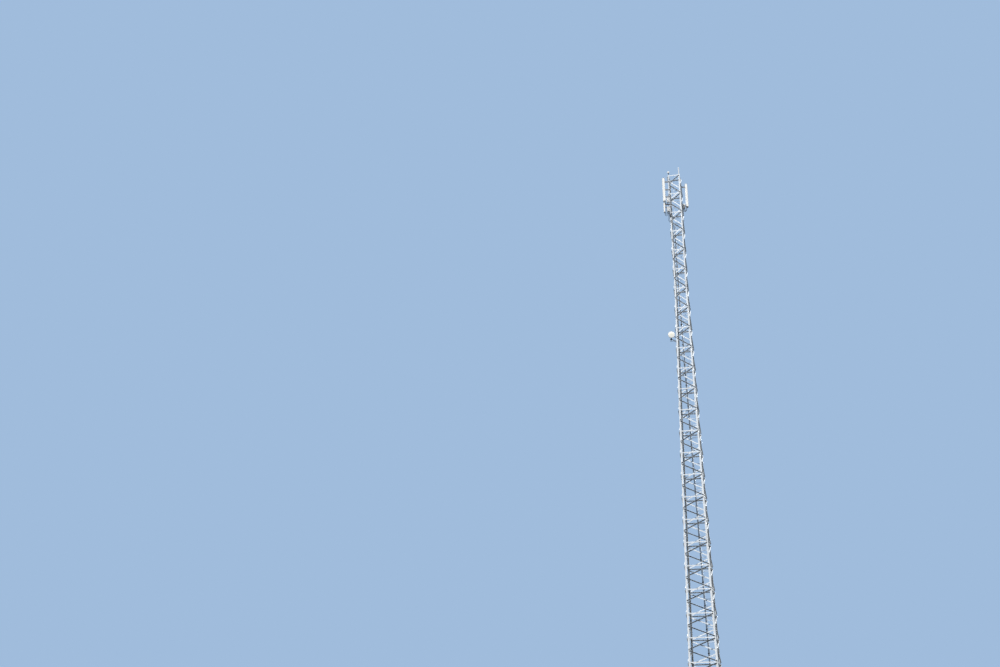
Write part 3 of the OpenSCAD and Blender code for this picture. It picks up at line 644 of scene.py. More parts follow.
def swept(name, routes, diameter, material, sides, step=None, ripple=0.0, seed=1):
    """Round cords, or beads with a ripple, along routes of points."""
    edges, start = [], 0
    for route in routes:
        edges += [(k, k + 1) for k in range(start, start + len(route) - 1)]
        start += len(route)
    tree = Growth(name, [p for route in routes for p in route], edges)
    across = tree.size("Diameter", "Float", diameter)
    count = tree.size("Sides", "Int", sides)
    line = tree.node("GeometryNodeMeshToCurve", {}, Mesh=tree.geometry)
    if step:
        length = tree.size("Ripple Length", "Float", step)
        height = tree.size("Ripple", "Float", ripple)
        chance = tree.size("Seed", "Int", seed)
        draw, real = "FunctionNodeRandomValue", {"data_type": "FLOAT"}
        by_length = {"mode": "LENGTH"}
        line = tree.node("GeometryNodeResampleCurve", by_length, Curve=line, Length=length)
        swell = tree.node(draw, real, Min=1 - height, Max=1.0, Seed=chance)
        line = tree.node("GeometryNodeSetCurveRadius", {}, Curve=line, Radius=swell)
    circle, sweep = "GeometryNodeCurvePrimitiveCircle", "GeometryNodeCurveToMesh"
    rim = tree.node(circle, {}, Resolution=count, Radius=0.5 * across)
    cord = tree.node(sweep, {}, Curve=line, Profile_Curve=rim, Fill_Caps=True)
    return tree.grow(cord, material, 50)


# Cords: the routes of the construction, with finer bends

def bend(route, reach=0.060, steps=10):
    """Rounds the inner corners of a route, from as far off as reach."""
    rounded = [route[0]]
    for last, here, after in zip(route, route[1:], route[2:]):
        back, on = last - here, after - here
        r = min(reach, back.length / 2.1, on.length / 2.1)
        for k in range(steps + 1):
            f = k / steps
            rounded.append(here + r * ((1 - f) ** 2 * back.normalized() + f * f * on.normalized()))
    return rounded + [route[-1]]


def relaxed(path, spacing=0.008, rounds=48, hold=0.024):
    """Eases the bends of a path as a springy cable does, and keeps its ends straight."""
    runs = [(b - a).length for a, b in zip(path, path[1:])]
    count = round(sum(runs) / spacing)
    line, k, gone = [], 0, 0
    for n in range(count + 1):
        s = sum(runs) * n / count
        while k < len(runs) - 1 and gone + runs[k] < s:
            gone += runs[k]
            k += 1
        line.append(path[k].lerp(path[k + 1], min(1, (s - gone) / runs[k])))
    held = round(hold / spacing)
    for _ in range(rounds):
        eased = [(a + 2 * b + c) / 4 for a, b, c in zip(line, line[1:], line[2:])]
        line[held:count + 1 - held] = eased[held - 1:count - held]
    return line


def panel_port(panel, k):
    """The middle of a port under a panel antenna, seen from its pipe."""
    across = (k - (panel.ports - 1) / 2) * panel.wide / panel.ports
    return Vector((PIPE_D / 2 + panel.gap + panel.deep / 4, across, panel.low))


def radio_port(i, low):
    """Where a cable starts under a left radio, at its connector's end."""
    return RADIO_AT + Vector((RADIO_PORTS[i], -RADIO_BODY / 2, low - PORT_H))


def loop(a, b, sag):
    """Down from one port and up to another, as far below the lower one as sag."""
    low = min(a.z, b.z) - sag
    middle = Vector(((a.x + b.x) / 2, (a.y + b.y) / 2, low))
    return [a, a - 0.6 * sag * UP, middle, b - 0.6 * sag * UP, b]


def long_loop(a, b, x, y, sag):
    """Past the small antenna at x and y from the pipe, under it and up to the lower radio."""
    under = AT_PIPE @ Vector((x - 0.020, y + 0.045, SMALL.low))
    return [
        a,
        a - 0.020 * UP,
        AT_PIPE @ Vector((x + 0.008, y, LARGE.low - 0.200)),
        AT_PIPE @ Vector((x, y, SMALL.low + 0.080)),
        AT_PIPE @ Vector((x - 0.012, y + 0.024, SMALL.low - sag / 2)),
        (under + b) / 2 - sag * UP,
        b - 0.55 * sag * UP,
        b,
    ]


def ladder_place(x, y, z):
    """A point beside the ladder's right bar at a height."""
    return Vector((half(z) - LADDER_EDGE + x, half(z) + LADDER_OFF + y, z))


def bundle(i, z):
    """A feeder's place beside the ladder's left bar."""
    return ladder_place(-LADDER_W - STILE_T - CABLE_PITCH * (i + 0.5), STILE / 2, z)


def down_ladder(i, z):
    return [bundle(i, z)] + ([bundle(i, KINK)] if z > KINK else []) + [bundle(i, 0)]


def run_down(i, z):
    """Out through the back face at a height and down the ladder."""
    x = bundle(i, z).x
    out = [Vector((x, half(z) - 0.070, z)), Vector((x, half(z) + 0.060, z - 0.020))]
    return out + down_ladder(i, z - 0.150)


def round_leg(i, z):
    """Round the front left leg and in between the legs, further out for each next cable."""
    h = half(z)
    return [
        Vector((-h - 0.070 - 0.028 * i, -h - 0.025, z + 0.080)),
        Vector((-h - 0.025 - 0.006 * i, -h + 0.085 + 0.025 * i, z + 0.045)),
        Vector((-h + 0.060, -h + 0.160 + 0.025 * i, z)),
    ]


def jumper_routes():
    large = [AT_PIPE @ (panel_port(LARGE, k) - PORT_H * UP) for k in range(LARGE.ports)]
    small = [AT_PIPE @ (panel_port(SMALL, k) - PORT_H * UP) for k in range(SMALL.ports)]
    upper = [radio_port(i, UPPER_RADIO) for i in range(5)]
    lower = [radio_port(i, LOWER_RADIO) for i in range(5)]
    routes = {
        "upper_jumper_1": loop(large[3], upper[0], 0.100),
        "upper_jumper_2": loop(large[2], upper[1], 0.135),
        "long_jumper_1": long_loop(large[0], lower[0], 0.232, -0.056, 0.085),
        "long_jumper_2": long_loop(large[1], lower[1], 0.174, -0.026, 0.125),
        "lower_jumper_1": loop(small[0], lower[3], 0.210),
        "lower_jumper_2": loop(small[1], lower[2], 0.165),
    }
    for k in range(4):
        route = loop(large[3 - k], radio_port(k, RIGHT_RADIO), 0.120 + 0.030 * k)
        routes["right_jumper_%d" % (k + 1)] = [HALF_TURN @ p for p in route]
    return routes


def feeder_routes():
    """From the three radios and the dish to the ladder, and down it to the ground."""
    first, second = radio_port(4, UPPER_RADIO), radio_port(4, LOWER_RADIO)
    third = HALF_TURN @ radio_port(4, RIGHT_RADIO)
    fourth = AT_DISH @ (DISH_PORT - (PORT_H - 0.001) * UP)
    x, y, level = PIPE_AT.x - 0.084, PIPE_AT.y + 0.012, LOWER_RADIO + RADIO_H + 0.120
    behind_lower_radio = [
        first,
        Vector((first.x, first.y, level)),
        Vector((x, y, level - 0.020)),
        Vector((x, y, LOWER_RADIO - 0.090)),
    ]
    z = ENTRY + 0.120
    gap = half(z) + LADDER_OFF / 2
    behind_ladder = [
        third,
        Vector((third.x, third.y, z + 0.320)),
        Vector((half(z) + 0.030, gap + 0.015, z + 0.160)),
        Vector((half(z) - 0.150, gap, z + 0.040)),
        Vector((bundle(2, z).x + 0.060, gap, z - 0.040)),
    ]
    low_end = fourth - 0.105 * UP
    under_dish = [fourth, low_end, DISH_PIPE + Vector((-0.062, -0.015, low_end.z - 0.020))]
    return [
        behind_lower_radio + round_leg(1, ENTRY) + run_down(0, ENTRY),
        [second, second - 0.080 * UP] + round_leg(0, ENTRY - 0.040) + run_down(1, ENTRY - 0.040),
        behind_ladder + down_ladder(2, ENTRY - 0.060),
        under_dish + round_leg(0, DISH_ENTRY) + run_down(3, DISH_EXIT),
    ]


# Small hardware, in millimetres: +Z is outward

def bolt_head(shape):
    """A washer and a hexagon head for a bolt of diameter 1."""
    turn_up(shape, [(1.0, 0), (1.0, 0.18)], 12)
    turn_up(shape, [(0.86, 0.16), (0.86, 0.70), (0.74, 0.80)], 6)


def bolt_nut(shape):
    """A washer, a nut and the bolt's end, for a bolt of diameter 1."""
    turn_up(shape, [(1.0, 0), (1.0, 0.18)], 12)
    turn_up(shape, [(0.86, 0.16), (0.86, 0.92), (0.76, 1.02)], 6)
    turn_up(shape, [(0.50, 0.98), (0.50, 1.30), (0.42, 1.38)], 8)


def anchor(shape):
    """An anchor bolt's end, standing through its plate, with a thick washer and two nuts."""
    turn_up(shape, [(11.8, -19.8), (11.8, 58), (9.8, 60)], 20)
    turn_up(shape, [(24, 0), (24, 3.5), (23.2, 4.2)], 28)
    turn_up(shape, [(19, 4), (20.7, 6), (20.7, 23), (19, 25)], 6)
    turn_up(shape, [(19, 25.5), (20.7, 27.5), (20.7, 37), (19, 39)], 6)


def connector(shape):
    """A coaxial connector from its housing out: a flange, a neck and a coupling nut."""
    turn_up(shape, [(11.2, -1), (11.2, 2), (10.4, 3)], 20)
    turn_up(shape, [(7.8, 2), (7.8, 9)], 16)
    turn_up(shape, [(9.2, 6), (10.2, 7.5), (10.2, 18.5), (9.2, 20)], 12)
    turn_up(shape, [(8.4, 19.5), (8.4, 24)], 16)


def port_cap(shape):
    """A push-on cap over a port that nothing uses."""
    turn_up(shape, [(9.8, -1), (9.8, 19), (9, 22), (6.6, 23.5)], 20)
    turn_up(shape, [(10.6, 3), (10.6, 6)], 20)


def boot(shape):
    """A weatherproof boot over a connector and the start of its cable."""
    profile = [(8.8, 17.5), (11, 19), (11.2, 34)]
    for k in range(3):
        z = 36 + 5 * k
        profile += [(9.8 - 0.3 * k, z), (10.6 - 0.4 * k, z + 2.2)]
    turn_up(shape, profile + [(9.2, 53), (8, 56)], 20)


def rung_bead(shape):
    """The weld round one end of a rung."""
    turn_up(shape, [(14, -0.4), (13, 2.2), (10.2, 4.2)], 14)


def clamp_lugs(shape):
    """The two ears of a pipe clamp and the bolt that draws them together, with +X up."""
    washer, nut = [(8.8, 9.5), (8.8, 11.2)], [(7.4, 11), (7.4, 16), (6.4, 17)]
    for side in (-1, 1):
        low, high = sorted((side * 3.5, side * 9.5))
        block(shape, (-18, low, -4), (18, high, 24), 1.1)
        for profile, sides in ((washer, 14), (nut, 6)):
            loops = [ring(r, z, sides) for r, z in profile]
            loft(shape, [[Vector((p.x, side * p.z, 12 - side * p.y)) for p in loop] for loop in loops])


def strap(shape):
    """A band round the front half of a pipe, with a leg along each side of its saddle."""
    inner, outer, leg, rise = 30.4, 34.6, 48, 17
    arc = [math.pi + math.pi * k / 24 for k in range(25)]
    there = [(-inner, leg), (-outer, leg)] + [(outer * math.cos(a), outer * math.sin(a)) for a in arc]
    back = [(inner * math.cos(a), inner * math.sin(a)) for a in reversed(arc)]
    flat = there + [(outer, leg), (inner, leg)] + back
    loft(shape, [[Vector((x, y, z)) for x, y in flat] for z in (-rise, rise)])


# Places of the hardware

BOLT_UP, SCREW_UP = Vector((0.31, 0.17, 1)), Vector((0.2, 0.1, 1))


def placed(at, point, axis, up=UP, size=1):
    """A place for set_out: a point and its outward axis through a matrix, an up and a scale."""
    return at @ Vector(point), (at.to_3x3() @ Vector(axis)).normalized(), up, size


class Hardware:
    """Heads, nuts, clamp ears and saddle straps, gathered while the joints are gone through."""

    def __init__(self):
        self.heads, self.nuts, self.lugs, self.straps = [], [], [], []

    def head(self, at, point, axis, size):
        self.heads.append(placed(at, point, axis, BOLT_UP, size))

    def through(self, place, axis, grip, size):
        """A head, and a nut on the other side of what the bolt holds. The size is in millimetres."""
        self.heads.append((place, axis, BOLT_UP, size))
        self.nuts.append((place - axis * grip, -axis, BOLT_UP, size))

    def on_face(self, side, z, quarter, outside, inside, size, across):
        """A bolt through a leg's flange and through what lies outside it and inside it."""
        axis = Vector((0, -1, SLOPE if z < KINK else 0)).normalized()
        place = Vector((side * (half(z) - across), -half(z), z)) + axis * outside
        grip = outside + LEG_T[section_at(z)] + inside
        self.through(turned(place, quarter), turned(axis, quarter), grip, size)


def section_at(z):
    return min(3, int(max(0, z - SPLICE_RISE) // SECTION))


def bolt_line(z):
    """How far in from a leg's corner its bracing's bolts stand."""
    return FLANGE[section_at(z)] / 2 + GAUGE


def end_room(z):
    """How far a diagonal's bolt stands from the joint that the diagonal runs to."""
    angle = math.atan(BAY / 4 / (half(z) - bolt_line(z)))
    return BRACE_END * math.sin(angle) + BRACE / 2 * math.cos(angle) + 0.002


def bracing_bolts(hardware):
    """Both ends of every diagonal and horizontal, on the four faces."""
    on_leg = BRACE_T + SEAT
    for quarter in range(4):
        for i in range(BAYS):
            low, mid, top = i * BAY, (i + 0.5) * BAY, (i + 1) * BAY
            first = low + end_room(low) + BOLT_ROOM + (PLATE_T + GUSSET_H if i == 0 else 0)
            last = top - end_room(top) - BOLT_ROOM
            ends = (-1, mid - end_room(mid)), (1, first), (-1, mid + end_room(mid)), (1, last)
            for side, z in ends:
                hardware.on_face(side, z, quarter, on_leg, 0, 12, bolt_line(z))
            for side in (-1, 1):
                hardware.on_face(side, top, quarter, 0, on_leg, 12, bolt_line(top))


def splice_bolts(hardware):
    for quarter in range(4):
        for joint in (1, 2, 3):
            across = FLANGE[joint] / 2 + 0.004
            for rise in SPLICE_ROWS:
                z = joint * SECTION + SPLICE_RISE + rise
                for side in (-1, 1):
                    hardware.on_face(side, z, quarter, SPLICE_T + SEAT, 0, 16, across)


def ladder_bolts(hardware):
    """The feet of the cleats, the cleats on the side bars, and the clamp blocks."""
    back = Vector((0, 1, 0))
    for i in range(1, BAYS + 1):
        z = i * BAY
        wall = LEG_T[section_at(z)]
        for x, side in ((0, 1), (-LADDER_W, -1)):
            foot = ladder_place(x - side * CLEAT_BOLT, CLEAT_T - LADDER_OFF - wall, z)
            hardware.through(foot, back, CLEAT_T + BRACE_T + SEAT, 10)
            on_bar = ladder_place(x + side * (CLEAT_T + SEAT), 0.010, z)
            hardware.through(on_bar, side * ALONG, CLEAT_T + STILE_T + SEAT, 8)
    for i in range(CLAMPS):
        for x in (CLAMP_BOLT, CLAMP_W - CLAMP_BOLT):
            at = ladder_place(-LADDER_W - x, (STILE + CLAMP_D) / 2, (i + CLAMP_RISE) * BAY)
            hardware.through(at, back, CLAMP_D, 5)


def antenna_bracket(hardware, at, gap, z, spread, size):
    """Two bolts into a panel's back and the ears of the clamp on its pipe."""
    for y in (-spread, spread):
        x = PIPE_D / 2 + gap + RECESS - BRACKET_T
        hardware.head(at, (x, y, z), (-1, 0, 0), size)
    hardware.lugs.append(placed(at, (-PIPE_CLAMP_R, 0, z), (-1, 0, 0)))


def bracket_bolts(hardware):
    """The brackets on the antenna pipes, the saddles, the radios' brackets and the dish's arms."""
    left = Matrix()
    saddle_side, saddle_bolt, radio_back, radio_bolts = 0.0346, 0.036, 0.044, (-0.030, 0.014)
    for side, heights in ((left, LARGE_BRACKETS), (HALF_TURN, RIGHT_BRACKETS)):
        for z in heights:
            antenna_bracket(hardware, side @ AT_PIPE, LARGE.gap, z, 0.042, 10)
        for z in SADDLES:
            hardware.straps.append(placed(side, (*PIPE_AT.xy, z), UP, side @ ALONG))
            for x in (-1, 1):
                at = PIPE_AT + Vector((x * saddle_side, saddle_bolt, z))
                hardware.head(side, at, (x, 0, 0), 9)
    for z in SMALL_BRACKETS:
        antenna_bracket(hardware, AT_PIPE, SMALL.gap, z, 0.024, 8)
    outward = Vector((0.71, 0.71, 0))
    for side, low in ((left, UPPER_RADIO), (left, LOWER_RADIO), (HALF_TURN, RIGHT_RADIO)):
        for hold in RADIO_HOLDS:
            z = low + hold + HOLD_H / 2
            for x in radio_bolts:
                hardware.head(side, RADIO_AT + Vector((x, radio_back, z)), (0, 1, 0), 8)
            ears = PIPE_AT + outward * PIPE_CLAMP_R + z * UP
            hardware.lugs.append(placed(side, ears, outward))
    dish_clamp_r, arm_turn = 0.031, math.radians(190)
    outward = Vector((math.cos(arm_turn), math.sin(arm_turn), 0))
    for rise in DISH_ARMS:
        ears = DISH_PIPE + outward * dish_clamp_r + (DISH_Z + rise) * UP
        hardware.lugs.append(placed(left, ears, outward, UP, 0.95))
        face = half(DISH_Z + rise - 0.025) + SEAT
        for z in (-0.014, 0.014):
            at = Vector((-face - BRACKET_T, -face + 0.045, DISH_Z + rise + z))
            hardware.through(at, -ALONG, BRACKET_T + LEG_T[2], 10)
    hardware.lugs.append(placed(AT_DISH, (-dish_clamp_r, 0, 0), (-1, 0, 0), UP, 0.95))


def anchor_places():
    centre = -BASE_W / 2 + PLATE_IN
    for quarter in range(4):
        for x in (-1, 1):
            for y in (-1, 1):
                at = (centre + x * PLATE_PITCH / 2, centre + y * PLATE_PITCH / 2, PLATE_T)
                yield turned(at, quarter), UP, Vector((1, 0.2 * x, 0)), 1


def rung_places():
    """Both ends of every rung, on the inner sides of the side bars."""
    z = 1.5 * RUNG_PITCH
    while z < TOP - 0.02:
        if abs(z - KINK) > 0.02:
            for x, side in ((-STILE_T, -1), (STILE_T - LADDER_W, 1)):
                yield ladder_place(x, STILE / 2, z), side * ALONG, UP, 1
        z += RUNG_PITCH


def foot_welds():
    """Beads round the feet of the legs and along both sides of the stiffeners."""
    h, b, t, z = half(PLATE_T), FLANGE[0], LEG_T[0], PLATE_T
    outline = [(0, 0), (b, 0), (b, t), (t, t), (t, b), (0, b), (0, 0)]
    middle = -BASE_W / 2 + PLATE_IN
    foot = middle - PLATE_W / 2 + GUSSET_EDGE
    routes = []
    for quarter in range(4):
        routes.append([turned((x - h, y - h, z), quarter) for x, y in outline])
        for x in (middle, middle + GUSSET_T):
            routes.append([turned((x, y, z), quarter) for y in (foot, -h)])
            routes.append([turned((y, x, z), quarter) for y in (foot, -h)])
    return routes


# Antennas, radios and dish

def panel_outline(w, d, notch):
    """Flat behind with round corners, bowed in front, and a channel behind where there is a notch."""
    crown, corner, run = 0.4 * d, 0.014, 0.012
    r = (w * w / 4 + crown * crown) / (2 * crown)
    wide = math.asin(w / 2 / r)
    centre = d / 2 - r

    def on_arc(a):
        return Vector((centre + r * math.cos(a), r * math.sin(a)))

    edge = Vector((d / 2 - crown, -w / 2))
    start, end = edge - Vector((run, 0)), on_arc(-wide + run / r)
    ease = [
        start * (1 - f) ** 2 + edge * 2 * f * (1 - f) + end * f * f for f in (0, 0.2, 0.4, 0.6, 0.8)
    ]
    lower = ease + [on_arc((-wide + run / r) * (1 - k / 10)) for k in range(10)]
    upper = [Vector((p.x, -p.y)) for p in reversed(lower)]
    back = -d / 2
    bends = [math.pi / 2 * k / 6 for k in range(7)]
    round_corner = [
        Vector((back + corner * (1 - math.sin(a)), w / 2 - corner * (1 - math.cos(a)))) for a in bends
    ]
    channel = []
    if notch:
        inner = w / 2 - RIM
        channel = [(back, inner), (back + RECESS, inner - 0.001)]
        channel = [Vector((x, y)) for x, y in channel + [(x, -y) for x, y in reversed(channel)]]
    other_corner = [Vector((p.x, -p.y)) for p in reversed(round_corner)]
    return lower + [on_arc(0)] + upper + round_corner + channel + other_corner


def panel_antenna(name, node, panel, turn=Matrix()):
    """The bowed cover, its end caps and their screws. Gives the places of its ports."""
    w, d, low, high = panel.wide, panel.deep, panel.low, panel.top
    x = PIPE_D / 2 + panel.gap + d / 2
    at = turn @ AT_PIPE

    def outline(grow, z, notch=False):
        return [Vector((p.x + x, p.y, z)) for p in panel_outline(w + grow, d + grow, notch)]

    def cover(shape):
        loft(shape, [outline(0, z, True) for z in (low + 0.010, high - 0.010)])

    def caps(shape):
        steps = (0.0040, 0), (0.0012, 0.0012), (0, 0.004), (0, CAP_H - 0.0015), (0.0012, CAP_H)
        for z, side in ((low, 1), (high, -1)):
            loops = [outline(CAP_LIP - 2 * inset, z + side * rise) for inset, rise in steps]
            loft(shape, loops if side == 1 else loops[::-1])

    stands(built(name, cover, COVER, 30, at), "antenna_cover", node)
    stands(built(name + "_end_caps", caps, CAP_PLASTIC, 30, at), "antenna_cover")
    screws = []
    for z in (low + CAP_H / 2, high - CAP_H / 2):
        for side in (-1, 1):
            for back in (0.30, -0.25):
                point = (x + back * d * 0.6 - 0.008, side * ((w + CAP_LIP) / 2 - 0.0004), z)
                screws.append(placed(at, point, (0, side, 0), SCREW_UP, 3.4))
    set_out(name + "_screws", screws, bolt_head, BOLT_ZINC, "antenna_cover", math.tau, 4)
    for k in range(panel.ports):
        yield placed(at, panel_port(panel, k), -UP, ALONG)


def rounded(w, d, r, y, z, sides=5):
    """A rectangle with round corners, centred on X = 0."""
    line = []
    for k, (sx, sy) in enumerate(((1, -1), (1, 1), (-1, 1), (-1, -1))):
        for n in range(sides + 1):
            a = math.pi / 2 * (k - 1 + n / sides)
            across, along = sx * (w / 2 - r), y + sy * (d / 2 - r)
            line.append(Vector((across + r * math.cos(a), along + r * math.sin(a), z)))
    return line


def bar(shape, path, radius, side, sides=12):
    """A round bar along a flat path. The side is across the path's plane."""
    loops = []
    for k, p in enumerate(path):
        on = (path[min(k + 1, len(path) - 1)] - path[max(k - 1, 0)]).normalized()
        up = on.cross(side)
        angles = [math.tau * n / sides for n in range(sides)]
        loops.append([p + radius * (math.cos(a) * side + math.sin(a) * up) for a in angles])
    loft(shape, loops)


def radio_case(shape):
    """A flat housing with grooved ends, fins in front and a handle on top. Its back is Y = 0."""
    w, d, h = RADIO_W, RADIO_BODY, RADIO_H
    foot = [
        (0.003, 0), (0.0008, 0.0010), (0, 0.003), (0, 0.020),
        (0.0014, 0.0205), (0.0014, 0.0225), (0, 0.023),
    ]
    profile = foot + [(inset, h - rise) for inset, rise in reversed(foot)]
    loft(shape, [rounded(w - 2 * i, d - 2 * i, 0.010 - i, -d / 2, z) for i, z in profile])

    count, thick, inset = 7, 0.005, 0.014
    fin = (0.002 - d, 1, 0), (-0.084, 0.72, 0.001), (-0.088, 0.6, 0.003), (-RADIO_D, 0.36, 0.006)
    for i in range(count):
        x = -w / 2 + inset + thick / 2 + i * (w - 2 * inset - thick) / (count - 1)
        loops = []
        for y, part, cut in fin:
            low, high, t = inset + cut, h - inset - cut, thick * part / 2
            loops.append([Vector(p) for p in (
                (x - t, y, low), (x + t, y, low), (x + t, y, high), (x - t, y, high)
            )])
        loft(shape, loops)

    reach = 0.026
    rising = [(reach, -0.002), (reach, 0.014), (0.0245, 0.0195), (0.020, 0.022)]
    grip = [(-x, z) for x, z in rising] + rising[::-1]
    bar(shape, [Vector((x, -d / 2, h + z)) for x, z in grip], 0.0045, Vector((0, 1, 0)))
    for x in (-reach, reach):
        socket = [(0.0078, h - 0.001), (0.0078, h + 0.003), (0.0062, h + 0.0045)]
        turn_up(shape, socket, 16, (x, -d / 2))


def radio(name, node, low, used, turn=Matrix()):
    """The radio's case and its screws. Gives the places of its used and unused ports."""
    at = turn @ Matrix.Translation(RADIO_AT + low * UP)
    stands(built(name, radio_case, RADIO_PAINT, 32, at), "radio_housing", node)
    screws = []
    for z in (0.0105, RADIO_H - 0.0105):
        spots = [
            ((x * (RADIO_W / 2 - 0.0002), y, z), (x, 0, 0)) for y in (-0.014, -0.036) for x in (-1, 1)
        ]
        spots += [((x, -0.0002, z), (0, 1, 0)) for x in (-0.042, 0, 0.042)]
        screws += [placed(at, point, axis, SCREW_UP, 3.2) for point, axis in spots]
    set_out(name + "_screws", screws, bolt_head, BOLT_ZINC, "radio_housing", math.tau, 6)
    ports = [placed(at, (x, -RADIO_BODY / 2, 0), -UP, ALONG, 0.9) for x in RADIO_PORTS]
    return [[p for k, p in enumerate(ports) if (k in used) == wanted] for wanted in (True, False)]


def bowl_rise(r):
    return 0.008 + BOWL * ((r - HUB_R) / (DISH_R - 0.006 - HUB_R)) ** 2


def dish_bowl(shape):
    """The dish from behind: a hub, a ribbed bowl, and a deep rim with a rolled edge."""
    r, edge = DISH_R, BOWL + RIM_W
    start, run, steps = HUB_R + 0.002, DISH_R - HUB_R - 0.008, 14
    profile = [(HUB_R - 0.002, 0), (HUB_R, 0.001), (HUB_R, 0.008)]
    for k in range(steps + 1):
        bowl_r = start + run * k / steps
        profile.append((bowl_r, bowl_rise(bowl_r)))
    profile += [
        (r - 0.001, BOWL + 0.011), (r, BOWL + 0.013), (r, BOWL + 0.030), (r - 0.0012, BOWL + 0.032),
        (r - 0.0012, edge - 0.007), (r, edge - 0.005), (r, edge - 0.0012), (r - 0.0012, edge),
        (r - 0.0024, edge), (r - 0.0030, edge - 0.0015),
    ]
    turn_up(shape, profile, 96)
    ribs, rib_t = 12, 0.0018
    radii, heights = (0.050, 0.060, 0.085, 0.110, 0.132, 0.142), (0, 0.006, 0.007, 0.007, 0.006, 0)
    rib = [(r, bowl_rise(r) - h) for r, h in zip(radii, heights)]
    rib += [(r, bowl_rise(r) + 0.002) for r in reversed(radii)]
    for k in range(ribs):
        turn = Matrix.Rotation(math.tau * k / ribs, 4, "Z")
        loft(shape, [[turn @ Vector((r, y, z)) for r, z in rib] for y in (rib_t, -rib_t)])


def dish_face(shape):
    """The domed cover, held in the rim."""
    inner, edge, steps = DISH_R - 0.0034, BOWL + RIM_W, 18
    profile = [(inner - 0.001, edge - 0.004), (inner, edge - 0.002), (inner - 0.0008, edge + 0.0004)]
    for k in range(steps):
        f = 1 - k / steps
        profile.append((0.1435 * f, edge + DOME * (1 - f * f) - 0.0004))
    turn_up(shape, profile + [(0.002, edge + DOME - 0.0004)], 96)


def cap_plate(shape, x, y):
    """The plate on a leg's top. Gives the height of its upper face."""
    half_w = CAP_W / 2
    low, high = (x - half_w, y - half_w, CAP_Z), (x + half_w, y + half_w, CAP_Z + CAP_T)
    block(shape, low, high, 0.0015)
    return CAP_Z + CAP_T


def mast(shape):
    """A cap plate and a pipe with a collar, which closes in a blunt tip."""
    at = (MAST_AT, -MAST_AT)
    foot = cap_plate(shape, *at)
    top = foot + 0.372
    turn_up(shape, [
        (0.027, foot - 0.001), (0.027, top - 0.024), (0.0262, top - 0.020),
        (0.011, top - 0.0015), (0.0095, top),
    ], 40, at)
    turn_up(shape, [
        (0.0278, top - 0.084), (0.0286, top - 0.0825), (0.0286, top - 0.066), (0.0278, top - 0.0645),
    ], 40, at)


def timing_stem(shape):
    at = (-MAST_AT, -MAST_AT)
    z = cap_plate(shape, *at)
    turn_up(shape, [(0.0205, z - 0.001), (0.0205, z + 0.008), (0.0185, z + 0.010)], 6, at)
    turn_up(shape, [(0.013, z), (0.013, z + 0.104), (0.019, z + 0.110), (0.019, z + 0.125)], 28, at)


def timing_dome(shape):
    r, height, steps = 0.050, 0.096, 16
    z = CAP_Z + CAP_T + 0.123
    profile = [
        (0.040, z), (0.044, z + 0.0003), (0.0488, z + 0.0045), (r, z + 0.008), (r, z + 0.012),
        (0.0492, z + 0.0126), (0.0492, z + 0.0146), (r, z + 0.0152),
    ]
    for k in range(steps):
        a = math.pi / 2 * k / steps
        profile.append((r * math.cos(a), z + height * (0.4 + 0.6 * math.sin(a))))
    turn_up(shape, profile + [(0.0018, z + height - 0.0001)], 56, (-MAST_AT, -MAST_AT))


# Making

def make_cords():
    """Ten jumpers between panels and radios, and the four feeders clamped down the ladder."""
    for name, route in jumper_routes().items():
        path = relaxed(bend(route))
        piece = swept(name, [path], JUMPER_D, CABLE_JACKET, 16)
        stands(piece, "cable_jacket", "jumper_cables")
        length = sum((b - a).length for a, b in zip(path, path[1:]))
        tuple(path[0])
        [tuple(p) for p in path]
    routes = [bend(route, 0.080) for route in feeder_routes()]
    stands(swept("feeders", routes, CABLE_D, CABLE_JACKET, 14), "cable_jacket", "feeder_cables")


def make_steel():
    """The frame of the tower with its edges broken, and every bolt and weld on it."""
    steel = "galvanised_steel"
    legs = ["section_%d_legs" % (k + 1) for k in range(4)]
    splices = ["splice_plates_%d" % (k + 1) for k in range(3)]
    sides = ("front", "right", "back", "left")
    bracing = ["section_%d_%s_bracing" % (k + 1, side) for k in range(4) for side in sides]
    ladder = ["lower_ladder", "upper_ladder", "ladder_brackets"]
    pipes = ["left_antenna_pipe", "right_antenna_pipe", "radio_brackets"]
    clamps = ["left_antenna_brackets", "small_antenna_brackets", "right_antenna_brackets"]
    for nodes, material, slot, width in (
        (legs + splices, LEG_ZINC, steel, 0.0016),
        (bracing, BRACE_ZINC, steel, 0.0008),
        (["base_plates"], LEG_ZINC, steel, 0.0016),
        (ladder, LADDER_ZINC, steel, 0.0010),
        (["cable_clamps"], CLAMP_PLASTIC, "clamp_plastic", 0.0012),
        (pipes, PIPE_ZINC, steel, 0.0008),
        (clamps + ["dish_mount"], CLAMP_ZINC, steel, 0.0010),
    ):
        for node in nodes:
            dressed(node, material, slot, width)
    hardware = Hardware()
    bracing_bolts(hardware)
    splice_bolts(hardware)
    ladder_bolts(hardware)
    bracket_bolts(hardware)
    set_out("bolt_heads", hardware.heads, bolt_head, BOLT_ZINC, steel, math.tau, 11)
    set_out("bolt_nuts", hardware.nuts, bolt_nut, BOLT_ZINC, steel, math.tau, 11)
    set_out("clamp_ears", hardware.lugs, clamp_lugs, CLAMP_ZINC, steel)
    set_out("saddle_straps", hardware.straps, strap, CLAMP_ZINC, steel)
    set_out("anchor_bolts", anchor_places(), anchor, BOLT_ZINC, steel, 0.6, 3)
    set_out("rung_welds", rung_places(), rung_bead, LADDER_ZINC, steel, 1, 5)
    stands(swept("foot_welds", foot_welds(), 0.010, LEG_ZINC, 8, 0.004, 0.25, 8), steel)


